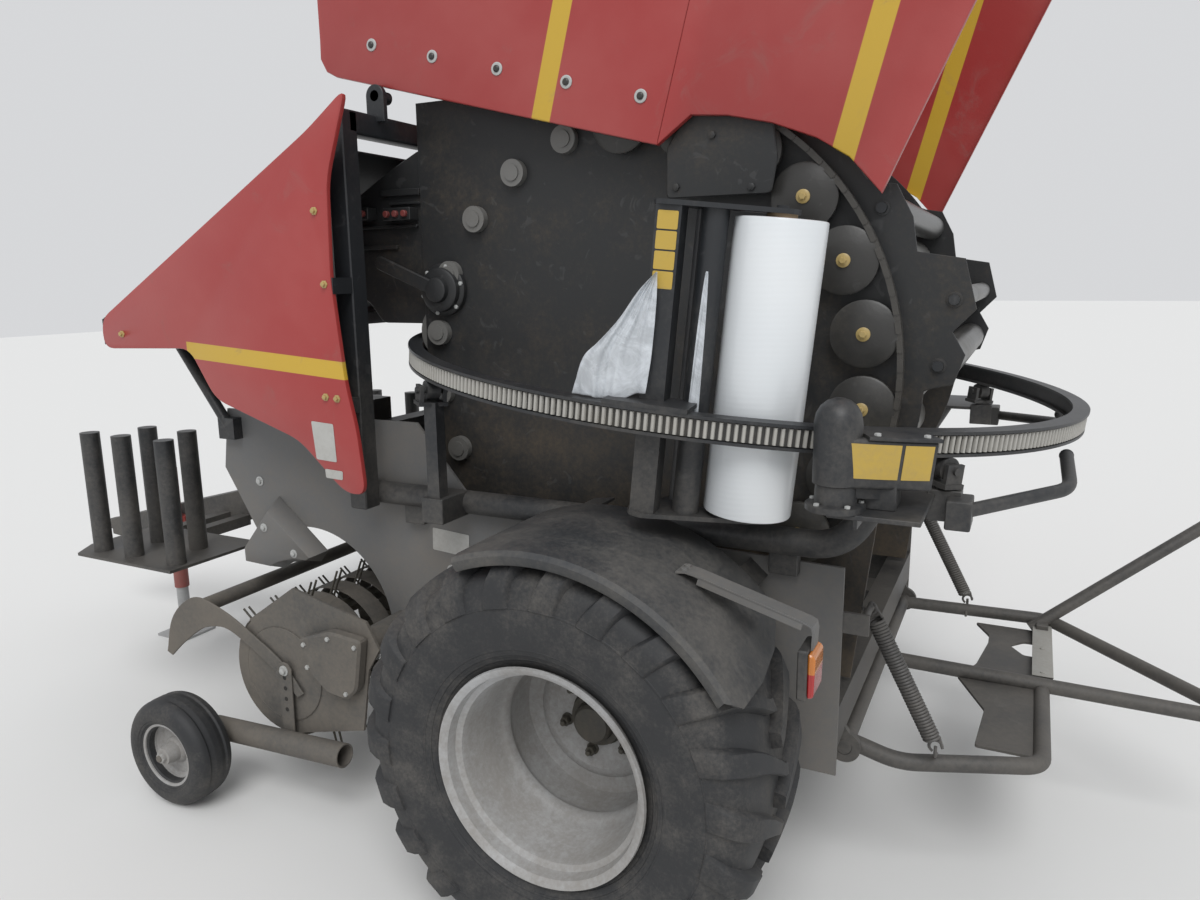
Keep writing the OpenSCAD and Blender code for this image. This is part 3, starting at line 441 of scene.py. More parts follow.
def pan(outline, outer, inner, edge=0.004, wall=0.003):
    """A sheet panel [x, z] with edges folded from y = outer to y = inner, hollow behind: six outlines."""
    into = math.copysign(1, inner - outer)
    return at_levels(outline, ((edge, outer), (edge * 0.3, outer + into * edge * 0.3),
                            (0, outer + into * edge), (0, inner), (wall, inner),
                            (wall, outer + into * wall * 2)))


def faded_red(name, stripe):
    """Red paint that has gone chalky in patches; stripe(paint) gives the yellow mask, 0 to 1."""
    paint = Finish(name)
    chalk = paint.noise(1.7, 4, 0.6).step(0.35, 0.75)
    speck = paint.noise(90, 3, 0.7)
    grime = paint.noise(6, 5, 0.7, warp=0.8).step(0.56, 0.8)
    red = paint.mix(chalk * 0.6, (0.335, 0.034, 0.032), (0.4, 0.085, 0.078))
    stripe_worn = paint.mix(grime * 0.5, (0.56, 0.36, 0.035), (0.38, 0.27, 0.09))
    tone = paint.mix(stripe(paint), red, stripe_worn)
    tone = paint.mix(grime * 0.35, tone, (0.22, 0.15, 0.13))
    paint.shader(Base_Color=tone, Roughness=chalk * 0.15 + grime * 0.2 + 0.36, Coat_Weight=0.25,
                 Normal=paint.bump(speck + paint.noise(0.9, 2) * 4, 0.0006, 0.5))
    return paint


def panel_stripe(paint):
    along, _, height = paint.axes()
    level = height + (along + 0.75) * 0.07
    return level.band(1.612, 0.027, 0.002) * along.step(-0.752, -0.748)


panel_red = faded_red("panel_red", panel_stripe)
panel_y = 1.02
panel_outline = rounded(np.array([(-794, 2394), (-954, 2287), (-2010, 1712), (-2010, 1605), (-1562, 1616),
                                  (-1455, 1445), (-1082, 1328), (-901, 1168), (-816, 1168), (-837, 1381),
                                  (-869, 1520), (-901, 1840), (-890, 2138)]) / 1000 + (axle_x, 0), 0.05)
panels = Surface()
for side in (-1, 1):
    panels.rings(pan(panel_outline, side * panel_y, side * 1.0045, 0.005))
    for x, z in ((-0.945, 2.05), (-0.925, 1.83), (-0.905, 1.475), (-0.952, 1.478), (-1.9, 1.66)):
        panels.bar([(-0.002, 0.013), (0.003, 0.013), (0.005, 0.009), (0.011, 0.008), (0.012, 0.006)], 6,
                   (x + axle_x, side * panel_y, z), (0, side, 0), 1)
panels.piece("side_panels", "chassis", "hood_red", (panel_red, yellow_zinc), ("front_panels",))


# Hood: two pressed sides with a crease across them and a curved skin between, swung up on two pins at
# the front arch. Washers and bolts along the hem hold the ribs inside it.
hood_open = math.radians(68)
hood_y = 0.735
hood_pin = np.array((axle_x - 0.9, 2.42))
hood_along = np.array((math.cos(math.radians(-82.5)), math.sin(math.radians(-82.5))))
hood_into = np.array((-hood_along[1], hood_along[0]))
hood_origin = np.array((axle_x - 0.886, 2.555))
crease = 1.12


def raised(flat):
    """Points [x, z] of the closed hood, turned open about its pin."""
    d = np.asarray(flat, float) - hood_pin
    cosine, sine = math.cos(hood_open), math.sin(hood_open)
    return hood_pin + np.stack((d[..., 0] * cosine - d[..., 1] * sine,
                                d[..., 0] * sine + d[..., 1] * cosine), -1)


def hood_edge(pairs):
    """Points [x, z] of the closed hood from pairs: distance along its hem and distance in from it."""
    return [hood_origin + hood_along * s + hood_into * w for s, w in pairs]


def circle_line(centre, radius, first, last, many):
    """Points of an arc; first and last are its turns in degrees."""
    turn = np.radians(np.linspace(first, last, many))
    return list(np.array(centre) + radius * np.stack((np.cos(turn), np.sin(turn)), -1))


crown, rear_x, shoulder_r = 2.85, axle_x + 1.04, 0.42
hood_reach = 2.03  # from the pin to the hood's rear edge
shoulder = circle_line((rear_x - shoulder_r, crown - shoulder_r), shoulder_r, 0, 90, 14)
brow = [(axle_x - 0.48, crown), (axle_x - 0.806, 2.717)]
upper = (hood_edge([(-0.138, 0.045), (-0.105, 0.01), (-0.06, 0), (crease, 0)])
         + circle_line(hood_pin, hood_reach, -21.6, -17.2, 3) + shoulder + brow)
skirt = (hood_edge([(crease, 0), (1.198, 0.095), (1.3, 0.112), (1.423, 0.115), (1.55, 0.1), (1.647, 0.07),
                    (1.752, 0)])
         + circle_line(hood_pin, hood_reach, -53.8, -21.6, 14))


def hood_stripes(paint):
    x, _, z = paint.axes()
    start = raised(hood_origin)
    way = raised(hood_origin + hood_along) - start
    along = (x - start[0]) * way[0] + (z - start[1]) * way[1]
    return along.band(0.735, 0.03, 0.003) + along.band(1.63, 0.03, 0.003)


hood_red = faded_red("hood_red", hood_stripes)
zinc_washer = dusty_paint("zinc_washer", (0.45, 0.46, 0.45), 0.4, 0.4)
for word, side in both_sides:
    sheet = Surface()
    for outline, slope in ((upper, 0), (skirt, 0.03)):
        flat = np.array(outline)
        rings = pan(flat, side * hood_y, side * 0.7155, 0.005)
        depth = np.stack([inset(flat, d) for d in (0.005, 0.0015, 0, 0, 0.003, 0.003)]) - hood_origin
        rings[..., 1] -= side * slope * (depth @ hood_along - crease)
        opened = raised(rings[..., [0, 2]])
        rings[..., 0], rings[..., 2] = opened[..., 0], opened[..., 1]
        sheet.rings(rings)
    for s in np.linspace(0.07, 1.04, 5):
        x, z = raised(hood_edge([(s, 0.118)])[0])
        for profile, steps, finish in (([(-0.001, 0.019), (0.003, 0.019), (0.004, 0.017)], 28, 1),
                                       ([(0.002, 0.011), (0.007, 0.01), (0.01, 0.006)], 20, 2)):
            sheet.bar(profile, steps, (x, side * hood_y, z), (0, side, 0), finish)
    sheet.piece("hood_panel_" + word, "hood", "hood_red", (hood_red, zinc_washer, oily),
                ("hood_side_" + word,), 25)
skin_line = np.array(brow[::-1] + shoulder[::-1] + [(rear_x, z) for z in np.linspace(2.35, 2.1, 4)])
slope = np.gradient(skin_line, axis=0)
inward = unit(np.stack((slope[:, 1], -slope[:, 0]), -1))
skin = Surface()


def across_hood(profile, finish):
    """A profile [x, z] of the closed hood drawn from side to side."""
    opened = raised(profile)
    skin.rings([[(x, y, z) for x, z in opened] for y in (-0.714, 0.714)], finish=finish)


across_hood(np.concatenate((skin_line, (skin_line + 0.012 * inward)[::-1])), 0)
for k in (1, 8, 15, 18):
    start, way, deep = skin_line[k] + 0.01 * inward[k], unit(slope[k]), 0.045 * inward[k]
    across_hood([start - 0.03 * way, start + 0.03 * way, start + 0.02 * way + deep,
                 start - 0.02 * way + deep], 1)
plain_red = faded_red("plain_red", lambda paint: paint.axes()[0] * 0)
skin.piece("hood_skin", "hood", "hood_red", (plain_red, frame_black), ("hood_shell",), 30)


# Wrapping ring: the rolled channel keeps its node. A steel band with 392 upright drive pins is welded
# round its outer face, where the drive's wheel meshes with it.
ring_x = 0.061  # of the ring's middle, from the axle
ring_middle = np.array((axle_x + ring_x, 0, 1.506))
ring_tilt = math.radians(5.6)


def on_ring(points, turn):
    """Points about the ring's own middle, turned about its axis, tipped to the rear and placed."""
    p, cosine, sine = np.asarray(points, float), np.cos(turn), np.sin(turn)
    x, y, z = p[..., 0] * cosine - p[..., 1] * sine, p[..., 0] * sine + p[..., 1] * cosine, p[..., 2]
    cosine, sine = math.cos(ring_tilt), math.sin(ring_tilt)
    return ring_middle + np.stack((x * cosine + z * sine, y, z * cosine - x * sine), -1)


band = Surface()
loop = np.array([(1.1525, 0, -0.0235), (1.158, 0, -0.0235), (1.158, 0, 0.0235), (1.1525, 0, 0.0235)])
band_turns = np.linspace(0, 2 * math.pi, 240, endpoint=False)[:, None]
band.rings(on_ring(loop, band_turns), endless=True)
pin_bar = np.array([[(1.157, -0.0052, z), (1.163, -0.005, z), (1.1658, -0.003, z), (1.1658, 0.003, z),
                     (1.163, 0.005, z), (1.157, 0.0052, z)] for z in (-0.0215, 0.0215)])
drive_pins = 392
for turn in np.linspace(0, 2 * math.pi, drive_pins, endpoint=False):
    band.rings(on_ring(pin_bar, turn), finish=1)
pin_steel = dusty_paint("pin_steel", (0.4, 0.39, 0.36), 0.45, 0.55, (0.24, 0.21, 0.17))
band.piece("drive_band", "ring", "chain_steel", (oily, pin_steel), ("ring_chain",))


# Film rolls: white stretch film wound on a card core, smooth and a little glossy. Each stands on a
# spindle between the two arms of its dispenser.
film_white = Finish("film_white")
winding = film_white.noise(1.2, 3, 0.5, warp=0.3)
layers = film_white.node("TexWave", {"wave_type": "BANDS", "bands_direction": "Z"},
                         {"Vector": film_white.place, "Scale": 22, "Distortion": 1.2}, 1)
film_white.shader(Base_Color=film_white.mix(winding.step(0.4, 0.7), (0.7, 0.73, 0.75), (0.78, 0.8, 0.81)),
                  Roughness=winding * 0.08 + 0.26, Coat_Weight=0.3,
                  Normal=film_white.bump(layers, 0.0003, 0.4))
card = dusty_paint("card", (0.24, 0.17, 0.1), 0.7, 0.3)
roll_turn, post_turn = math.radians(-68.4), math.radians(-83)
roll_parts = (([(-0.24, 0.11), (-0.2385, 0.1135), (-0.235, 0.115), (0.505, 0.115), (0.5085, 0.1135),
                (0.51, 0.11)], 96), ([(-0.252, 0.038), (0.522, 0.038)], 32),
              ([(-0.272, 0.015), (0.542, 0.015)], 32))
for body, start in (("film_left", 0), ("film_right", math.pi)):
    roll = Surface()
    for finish, (profile, steps) in enumerate(roll_parts):
        upright = stacked(profile, steps, (1.0, 0, 0), (0, 0, 1))
        roll.rings(on_ring(upright, start + roll_turn), finish=finish)
    roll.piece("wound_" + body, body, "film", (film_white, card, frame_black),
               (body.replace("film", "film_roll"),))


# Loose film: the cut end of the film, gathered to a point at the post's side and hanging beside it as
# a fan of soft folds. It is thin clear stretch film, held only where it is pinched behind the post.
film_clear = Finish("film_clear")
crinkle = film_clear.noise(11, 5, 0.65, warp=1.2)
film_clear.shader(Base_Color=(0.76, 0.8, 0.84), Roughness=crinkle * 0.2 + 0.18,
                  Alpha=crinkle.step(0.35, 0.75) * 0.35 + 0.45, Normal=film_clear.bump(crinkle, 0.004, 0.7))
OUTER_EDGE = [(-0.012, 0.362), (-0.052, 0.315), (-0.097, 0.24), (-0.145, 0.178), (-0.178, 0.14),
              (-0.199, 0.085), (-0.211, 0.036)]
HEM = [(-0.211, 0.036), (-0.16, 0.038), (-0.135, 0.034), (-0.11, 0.04), (-0.075, 0.038), (-0.04, 0.058),
       (-0.012, 0.062)]
NEAR_EDGE = [(-0.01, 0.361), (-0.006, 0.3), (-0.005, 0.246), (-0.005, 0.2), (-0.006, 0.147), (-0.009, 0.1),
             (-0.012, 0.062)]
fan, drop = np.meshgrid(np.linspace(0, 1, 61), np.linspace(0, 1, 55))
outer, near = (smooth_line(edge, 9) for edge in (OUTER_EDGE, NEAR_EDGE))
hem = smooth_line(HEM, 10)
straight = outer[:, None] * (1 - fan[..., None]) + near[:, None] * fan[..., None]
flat = straight + (hem - straight[-1])[None] * drop[..., None] ** 3
fold = (0.01 * np.sin(fan * 15 + 1.5 * np.sin(drop * 4)) * drop ** 0.7 + 0.004 * np.sin(fan * 37 - drop * 8)
        + 0.006 * np.sin(drop * 11 + fan * 6) * drop * (1 - fan)) * (1 - 0.7 * fan)
radial = 1.116 + np.maximum(fold, -0.006)


def hang_film(name, sides, turn, replaced):
    """A sheet of film between two grids of points, turned round the ring."""
    made = Surface().rings(on_ring(np.concatenate((sides[0], sides[1][:, ::-1]), 1), turn))
    film = made.piece(name, "ring", "film_tail", (film_clear,), replaced, 180)


loose_sides = [np.stack((radial + offset, flat[..., 0], flat[..., 1]), -1) for offset in (0.0006, -0.0006)]
hang_film("loose_film", loose_sides, post_turn, ("film_tail",))


# Film web: film left on the outer stretch roller, torn to a point at its upper end. It clings to the
# steel by its own tack and shows as a pale strip between the post and the roll.
web_fan, web_drop = fan[:, ::2], drop[:, ::2]
web_turn = np.radians(-80) + np.radians(4 + 18 * web_drop ** 0.6) * (2 * web_fan - 1)
web_radial = 0.0375 + 0.0011 * np.sin(web_fan * 13 + web_drop * 5)
roller_turn, roller_orbit = math.radians(-77.5), 1.03
web_sides = [np.stack((roller_orbit * math.cos(roller_turn) + (web_radial + offset) * np.cos(web_turn),
                       roller_orbit * math.sin(roller_turn) + (web_radial + offset) * np.sin(web_turn),
                       0.372 - 0.35 * web_drop), -1) for offset in (0.0005, -0.0005)]
hang_film("film_web", web_sides, 0, ())


# Fenders: moulded black plastic with a rolled outer lip and shallow ribs across the rear end. Two flat
# steel straps under each one are bolted to the side wall.
fender_black = dusty_paint("fender_black", (0.03, 0.033, 0.037), 0.5, 0.85, (0.15, 0.14, 0.125))
part = np.linspace(0, 1, 90)[:, None]
cross = np.array([(-1.384, -0.034), (-1.3885, -0.012), (-1.38, 0.001), (-1.35, 0.005), (-1.2, 0.006),
                  (-1.05, 0.005), (-0.905, 0.003), (-0.882, -0.006), (-0.881, -0.022)])
inner_cut = 9 * np.clip((cross[:, 0] + 1.22) / 0.34, 0, 1) ** 2
outer_cut = 4 * np.clip((-1.34 - cross[:, 0]) / 0.05, 0, 1) ** 2
rear_end = 29.5 + inner_cut + outer_cut
turn = np.radians(rear_end + (112 - rear_end) * part)
ribs = 0.004 * np.cos(turn * 46) * (turn < 0.95) * (turn > 0.58) * (np.abs(cross[:, 0] + 1.13) < 0.2)
over = 0.608 + cross[:, 1] + ribs
radii = np.concatenate((over, (over - 0.004)[:, ::-1]), 1)
turn = np.concatenate((turn, turn[:, ::-1]), 1)
across = np.concatenate((cross[:, 0], cross[::-1, 0]))
across[[-1, -2]] += 0.004
across[[9, 10]] -= 0.004
fenders = Surface()
for side in (-1, 1):
    fenders.rings(np.stack((axle_x + radii * np.cos(turn), -side * np.broadcast_to(across, radii.shape),
                            tyre_r + radii * np.sin(turn)), -1))
    for angle in (48, 98):
        a = math.radians(angle)
        strap = ((0.603, -0.035), (0.603, 0.035), (0.595, 0.035), (0.595, -0.035))
        fenders.rings([[(axle_x + r * math.cos(a) - t * math.sin(a), side * y,
                         tyre_r + r * math.sin(a) + t * math.cos(a)) for r, t in strap]
                       for y in (0.79, 0.905)], finish=1)
fenders.piece("moulded_fenders", "chassis", "fender_black", (fender_black, frame_black), ("fenders",))


# Lamps at the rear corners: amber over red plastic lenses in a dark housing, screwed to the folded
# end of the lamp arm.
lens = Finish("lens")
_, _, height = lens.axes()
glow = lens.mix(height.step(0.93, 0.932), (0.36, 0.012, 0.012), (0.5, 0.16, 0.02))
lens.shader(Base_Color=glow, Roughness=0.18, Coat_Weight=0.6,
            Normal=lens.bump(lens.noise(160, 2), 0.0008, 0.6))
lamps = Surface()
for side in (-1, 1):
    middle = (axle_x + 0.635, 0.925)
    shell = rounded([(-0.02, -0.062), (0.004, -0.064), (0.004, 0.064), (-0.02, 0.062)], 0.006, 3) + middle
    glass = rounded([(0.0045, -0.058), (0.02, -0.052), (0.022, 0.048), (0.0045, 0.058)], 0.009, 4) + middle
    for outline, wide, finish in ((shell, 0.05, 1), (glass, 0.046, 0)):
        levels = ((0.004, -wide), (0, -wide + 0.004), (0, wide - 0.004), (0.004, wide))
        lamps.rings(at_levels(outline, [(depth, side * 1.16 + y) for depth, y in levels]), finish=finish)
lamps.piece("rear_lamps", "chassis", "lamp_red", (lens, frame_black), ("lamps",))


# Springs: two long closed coils of dark steel wire, from a bracket on the side wall to a hook on the
# drop frame. They take part of its weight.
def tube(path, radius, around=10, reference=(0, 1.0, 0.01)):
    """A round tube: at each point of the path, a circle square to it."""
    path = np.array(path, float)
    way = unit(np.gradient(path, axis=0))
    side = unit(np.cross(way, reference))
    turn = np.linspace(0, 2 * math.pi, around, endpoint=False)[:, None]
    circle = side[:, None] * np.cos(turn) + np.cross(way, side)[:, None] * np.sin(turn)
    return path[:, None] + radius * circle


def block(low, high):
    """A box between two corners as two square rings."""
    (x0, y0, z0), (x1, y1, z1) = low, high
    return np.array([[(x0, y0, z), (x1, y0, z), (x1, y1, z), (x0, y1, z)] for z in (z0, z1)])


springs = Surface()
coils, spring_y = 40, 0.64
spring_steel = dusty_paint("spring_steel", (0.055, 0.055, 0.056), 0.4, 0.6)
for side in (-1, 1):
    top = np.array((axle_x + 0.69, side * spring_y, 0.9))
    foot = np.array((axle_x + 0.89, side * spring_y, 0.515))
    way = unit(foot - top)
    across = np.cross(way, (0, 1.0, 0))
    wind = np.linspace(0, coils, coils * 18)[:, None]
    circle = np.cos(wind * 2 * math.pi) * across + np.sin(wind * 2 * math.pi) * np.array((0, 1.0, 0))
    coil = top + way * 0.035 + (foot - top - way * 0.06) * (wind / coils) + 0.0215 * circle
    springs.rings(tube(coil, 0.0044, 6, way))
    eye = np.linspace(-2.2, 2.2, 16)
    for point, sign, end in ((top, 1, coil[0]), (foot, -1, coil[-1])):
        hook = point + 0.018 * (way * (sign * np.cos(eye))[:, None] + across * np.sin(eye)[:, None])
        springs.rings(tube(np.concatenate((hook, [end])), 0.0044, 6, (0, 1.0, 0.02)))
    wire = [foot, foot - (0, 0, 0.03), (foot[0], side * 0.582, 0.462)]
    springs.rings(tube(smooth_line(wire, 5), 0.005, 8))
    low, high = sorted((side * 0.768, side * 0.78))
    springs.rings(block((axle_x + 0.58, low, 0.87), (axle_x + 0.71, high, 0.93)))
    springs.bar([(0, 0.01), (0.17, 0.01), (0.172, 0.008)], 16, (top[0], side * 0.778, top[2]),
                (0, -side, 0))
springs.piece("coil_springs", "chassis", "spring_steel", (spring_steel,), ("springs",))


# Lamp arms: a flat grey steel strap, bolted on each fender and folded down at its rear end to carry
# the lamp. A narrow lip along its outer edge stiffens it.
def folded(line, thick, y0, y1):
    """A strip of sheet along a line [x, z] of the side plane, thick below the line, from y0 to y1."""
    line = np.array(line, float)
    way = unit(np.gradient(line, axis=0))
    back = line + thick * np.stack((way[:, 1], -way[:, 0]), -1)
    around = np.concatenate((line, back[::-1]))
    return [[(x, y, z) for x, z in around] for y in (y0, y1)]


arms = Surface()
arm_line = [(axle_x + x, z) for x, z in ((0.3, 1.126), (0.325, 1.129), (0.35, 1.124), (0.63, 1.045),
                                         (0.643, 1.038), (0.647, 1.022), (0.645, 0.98))]
for side in (-1, 1):
    arms.rings(folded(arm_line, 0.005, *sorted((side * 1.125, side * 1.18))))
    arms.rings(folded([(axle_x + 0.36, 1.117), (axle_x + 0.62, 1.0435)], 0.018,
                      *sorted((side * 1.176, side * 1.18))))
    for y in (1.14, 1.165):
        arms.bar([(0, 0.011), (0.007, 0.01), (0.008, 0.006)], 6, (axle_x + 0.318, side * y, 1.127),
                 (0, 0, 1))
arms.piece("lamp_arms", "chassis", "wall_grey", (wall_grey,), ("lamp_brackets",))


# Pickup: pressed end covers and wind guard plates, bolted to its frame, and thick tube arms for the
# gauge wheels. Each arm hangs on a perforated strap that sets its height; its holes are painted shade.
def plate(outline, y0, y1, bevel=0.002):
    """A flat plate of the side plane between y0 and y1 with a small bevel round both faces."""
    low, high = sorted((y0, y1))
    return at_levels(outline, ((bevel, low), (0, low + bevel), (0, high - bevel), (bevel, high)))


def from_axle(pairs):
    """Points [x, z] given from the axle, moved into the part's frame."""
    return np.array(pairs, float) + (axle_x, 0)


guard_outer = smooth_line([(-1.842, 0.452), (-1.8, 0.585), (-1.722, 0.668), (-1.633, 0.7), (-1.5, 0.664),
                           (-1.38, 0.604), (-1.24, 0.52), (-1.15, 0.42)], 6)
guard_inner = smooth_line([(-1.178, 0.4), (-1.285, 0.485), (-1.4, 0.555), (-1.5, 0.6), (-1.572, 0.598),
                           (-1.64, 0.575), (-1.74, 0.505), (-1.815, 0.44)], 6)
side_cover = rounded([(-1.13, 0.64), (-0.985, 0.69), (-0.85, 0.68), (-0.88, 0.5), (-0.925, 0.455),
                      (-1.01, 0.462), (-1.085, 0.52)], 0.018, 4)
shield_pressed = from_axle(circle_line((-1.25, 0.47), 0.175, 0, 350, 36))
covers, guard, arms_low = Surface(), Surface(), Surface()
arm_y, strap_y = 1.066, 1.036  # middle of the arms, outer face of their straps
for side in (-1, 1):
    guard.rings(plate(from_axle(np.concatenate((guard_outer, guard_inner))), side * 1.0205, side * 1.028))
    covers.rings(plate(from_axle(side_cover), side * 1.0105, side * 1.055, 0.008))
    covers.rings(plate(shield_pressed, side * 1.0102, side * 1.014, 0.003))
    covers.bar([(0, 0.034), (0.006, 0.034), (0.01, 0.024), (0.018, 0.022), (0.02, 0.016)], 28,
               (axle_x - 1.25, side * 1.0135, 0.47), (0, side, 0))
    for x, z in ((-1.1, 0.625), (-0.99, 0.665), (-0.875, 0.655), (-0.925, 0.48), (-1.09, 0.545)):
        covers.bar([(0, 0.009), (0.006, 0.008), (0.007, 0.005)], 6, (axle_x + x, side * 1.055, z),
                   (0, side, 0), 1)
    # Arm: a thick tube, open at its rear end; a stub at the front carries the wheel's pin
    length = [(0, 0.041), (0.62, 0.041), (0.621, 0.04), (0.621, 0.036), (0.62, 0.035), (0.42, 0.035),
              (0.42, 0.001), (0, 0.001)]
    arms_low.rings(turned(length, 40, (axle_x - 1.56, side * arm_y, 0.222), (1, 0, 0.055)), endless=True)
    arms_low.bar([(0, 0.03), (0.058, 0.03), (0.06, 0.026)], 28, (gauge_x, side * arm_y, gauge_r),
                 (0, side, 0))
    arms_low.bar([(0, 0.0122), (0.225, 0.0122), (0.227, 0.01)], 20, (gauge_x, side * arm_y, gauge_r),
                 (0, side, 0))
    arms_low.bar([(0, 0.02), (0.008, 0.02), (0.01, 0.016)], 6, (gauge_x, side * 1.277, gauge_r),
                 (0, side, 0), 1)
    strap = from_axle([(-1.252, 0.255), (-1.198, 0.255), (-1.192, 0.505), (-1.206, 0.524), (-1.226, 0.528),
                       (-1.246, 0.52), (-1.256, 0.503)])
    arms_low.rings(plate(strap, side * 1.029, side * strap_y))
    # Strap's holes: thin near-black discs on its face, painted shade standing in for the dark inside of each
    # hole
    for z in (0.47, 0.43, 0.39, 0.35):
        arms_low.bar([(0, 0.008), (0.0006, 0.008)], 20, (axle_x - 1.224, side * strap_y, z), (0, side, 0), 2)
    arms_low.bar([(0, 0.019), (0.003, 0.019), (0.004, 0.012), (0.012, 0.011), (0.014, 0.007)], 24,
                 (axle_x - 1.224, side * strap_y, 0.497), (0, side, 0), 1)
pickup_grey = dusty_paint("pickup_grey", (0.052, 0.054, 0.055), 0.5, 0.85, (0.17, 0.15, 0.125))
# Near-black for the strap's holes: painted shade, not a colour of the steel
painted_hole_shade = dusty_paint("painted_hole_shade", (0.008, 0.008, 0.008), 0.8, 0.2)
guard.rings([[(axle_x - 1.64 + 0.028 * math.cos(t), y, 0.66 + 0.028 * math.sin(t))
              for t in np.linspace(0, 2 * math.pi, 28)[:-1]] for y in (-1.0215, 1.0215)])
guard.piece("wind_guard_plates", "pickup", "frame_black", (pickup_grey,), ("wind_guard",))
covers.piece("pickup_covers", "pickup", "frame_black", (pickup_grey, zinc_washer))
arms_low.piece("gauge_wheel_arms", "pickup", "frame_black", (pickup_grey, zinc_washer, painted_hole_shade),
               ("gauge_arms",))
pickup_grey.dress("pickup_frame")


# Pickup's drive guard: sheet folded out in front of the side wall, held on the pickup that it rises with.
# The wall behind it has only the bolts of its floor.
wall_y, guard_y = 0.7905, 0.86
drive_guard, wall_parts = Surface(), Surface()
guard_base = from_axle([(-1.436, 1.05), (-1.64, 0.825), (-1.64, 0.772), (-1.44, 0.772), (-1.39, 0.8),
                        (-1.33, 0.818), (-1.25, 0.822), (-1.215, 0.868)])
guard_top = from_axle([(-1.432, 1.01), (-1.56, 0.862), (-1.56, 0.8), (-1.445, 0.797), (-1.392, 0.822),
                       (-1.33, 0.84), (-1.262, 0.843), (-1.24, 0.856)])
drive_guard.rings([[(x, y, z) for x, z in flat]
                   for flat, y in ((guard_base, -wall_y), (guard_base, -0.796), (guard_top, -0.858),
                                   (inset(guard_top, 0.004), -guard_y))])
for x, z in ((-1.532, 1.1), (-0.663, 0.871), (-1.021, 0.494), (-0.3, 0.76), (0.3, 0.76)):
    wall_parts.bar([(-0.001, 0.018), (0.002, 0.018), (0.003, 0.011), (0.01, 0.01), (0.012, 0.007)], 24,
                   (axle_x + x, -wall_y, z), (0, -1, 0), 1)
for x, z in ((-1.455, 0.945), (-1.315, 0.862)):
    drive_guard.bar([(-0.001, 0.016), (0.002, 0.016), (0.003, 0.01), (0.009, 0.009), (0.011, 0.006)], 24,
                    (axle_x + x, -guard_y, z), (0, -1, 0), 1)
drive_guard.piece("drive_guard", "pickup", "wall_grey", (wall_grey, zinc_washer))
wall_parts.piece("wall_bolts", "chassis", "wall_grey", (wall_grey, zinc_washer))


# Chamber's side plates: one heavy black plate a side, from the sill up to the hood's hinge. Two ears
# behind it hold the net rollers. Bolted on it are the tensioner's hub and arm and a cover over the chain.
chamber_middle = np.array((-0.07, 1.57))
flank_y = 0.61
FRONT_EDGE = [(-0.3, 2.415), (-0.85, 2.415), (-0.85, 1.2)]
SILL = [(-0.88, 1.2), (-0.8, 0.665), (0.64, 0.665), (0.7, 1.2)]
EARS = [(0.78, 1.53), (0.87, 1.55), (0.895, 1.63), (0.86, 1.69), (0.915, 1.75), (0.88, 1.88), (0.76, 1.9),
        (0.745, 1.99), (0.7, 2.075), (0.56, 2.1)]
NET_ROLLERS = [(0.665, 2.015, 0.045), (0.86, 1.775, 0.03), (0.83, 1.6, 0.05)]
TENSIONER, ARM_END = np.array((-0.76, 1.806)), np.array((-0.985, 1.896))


def corner_turns(corners):
    """The turn of each corner about the chamber's middle, in degrees from -5 upwards."""
    away = np.array(corners) - chamber_middle
    turns = np.degrees(np.unwrap(np.arctan2(away[:, 1], away[:, 0])))
    return turns + 360 * (turns[0] < -5)


def reach(corners, turns):
    """Distance from the chamber's middle at each turn to a chain of straight edges; 0 beside the chain."""
    away, at, angle = np.array(corners) - chamber_middle, corner_turns(corners), np.radians(turns)
    k = np.clip(np.searchsorted(at, turns, "right") - 1, 0, len(away) - 2)
    edge = away[k + 1] - away[k]
    slant = np.cos(angle) * edge[:, 1] - np.sin(angle) * edge[:, 0]
    met = (turns >= at[0]) & (turns <= at[-1])
    return np.where(met, (away[k, 0] * edge[:, 1] - away[k, 1] * edge[:, 0]) / np.where(met, slant, 1), 0)


turns = np.unique(np.concatenate([np.arange(-5, 355, 1.0)]
                                 + [corner_turns(c) for c in (FRONT_EDGE, SILL, EARS)]))
front_reach = reach(FRONT_EDGE, turns)
radius = np.where(front_reach > 0, front_reach, np.maximum(np.maximum(reach(SILL, turns),
                                                                      reach(EARS, turns)), 0.868))
side_outline = from_axle(chamber_middle + radius[:, None]
                         * np.stack((np.cos(np.radians(turns)), np.sin(np.radians(turns))), -1))
chain_cover = rounded(from_axle([(0.08, 2.2), (0.145, 2.29), (0.385, 2.25), (0.4, 2.15), (0.385, 2.06),
                                 (0.08, 2.06)]), 0.015, 4)
arm_way = unit(ARM_END - TENSIONER)
arm_side = 0.023 * np.array((-arm_way[1], arm_way[0]))
arm_outline = rounded(from_axle([TENSIONER + arm_side, TENSIONER - arm_side,
                                 ARM_END - arm_side + 0.023 * arm_way,
                                 ARM_END + arm_side + 0.023 * arm_way]), 0.021, 6)
chaff_black = dusty_paint("chaff_black", (0.02, 0.021, 0.022), 0.5, 0.95, (0.115, 0.088, 0.058))
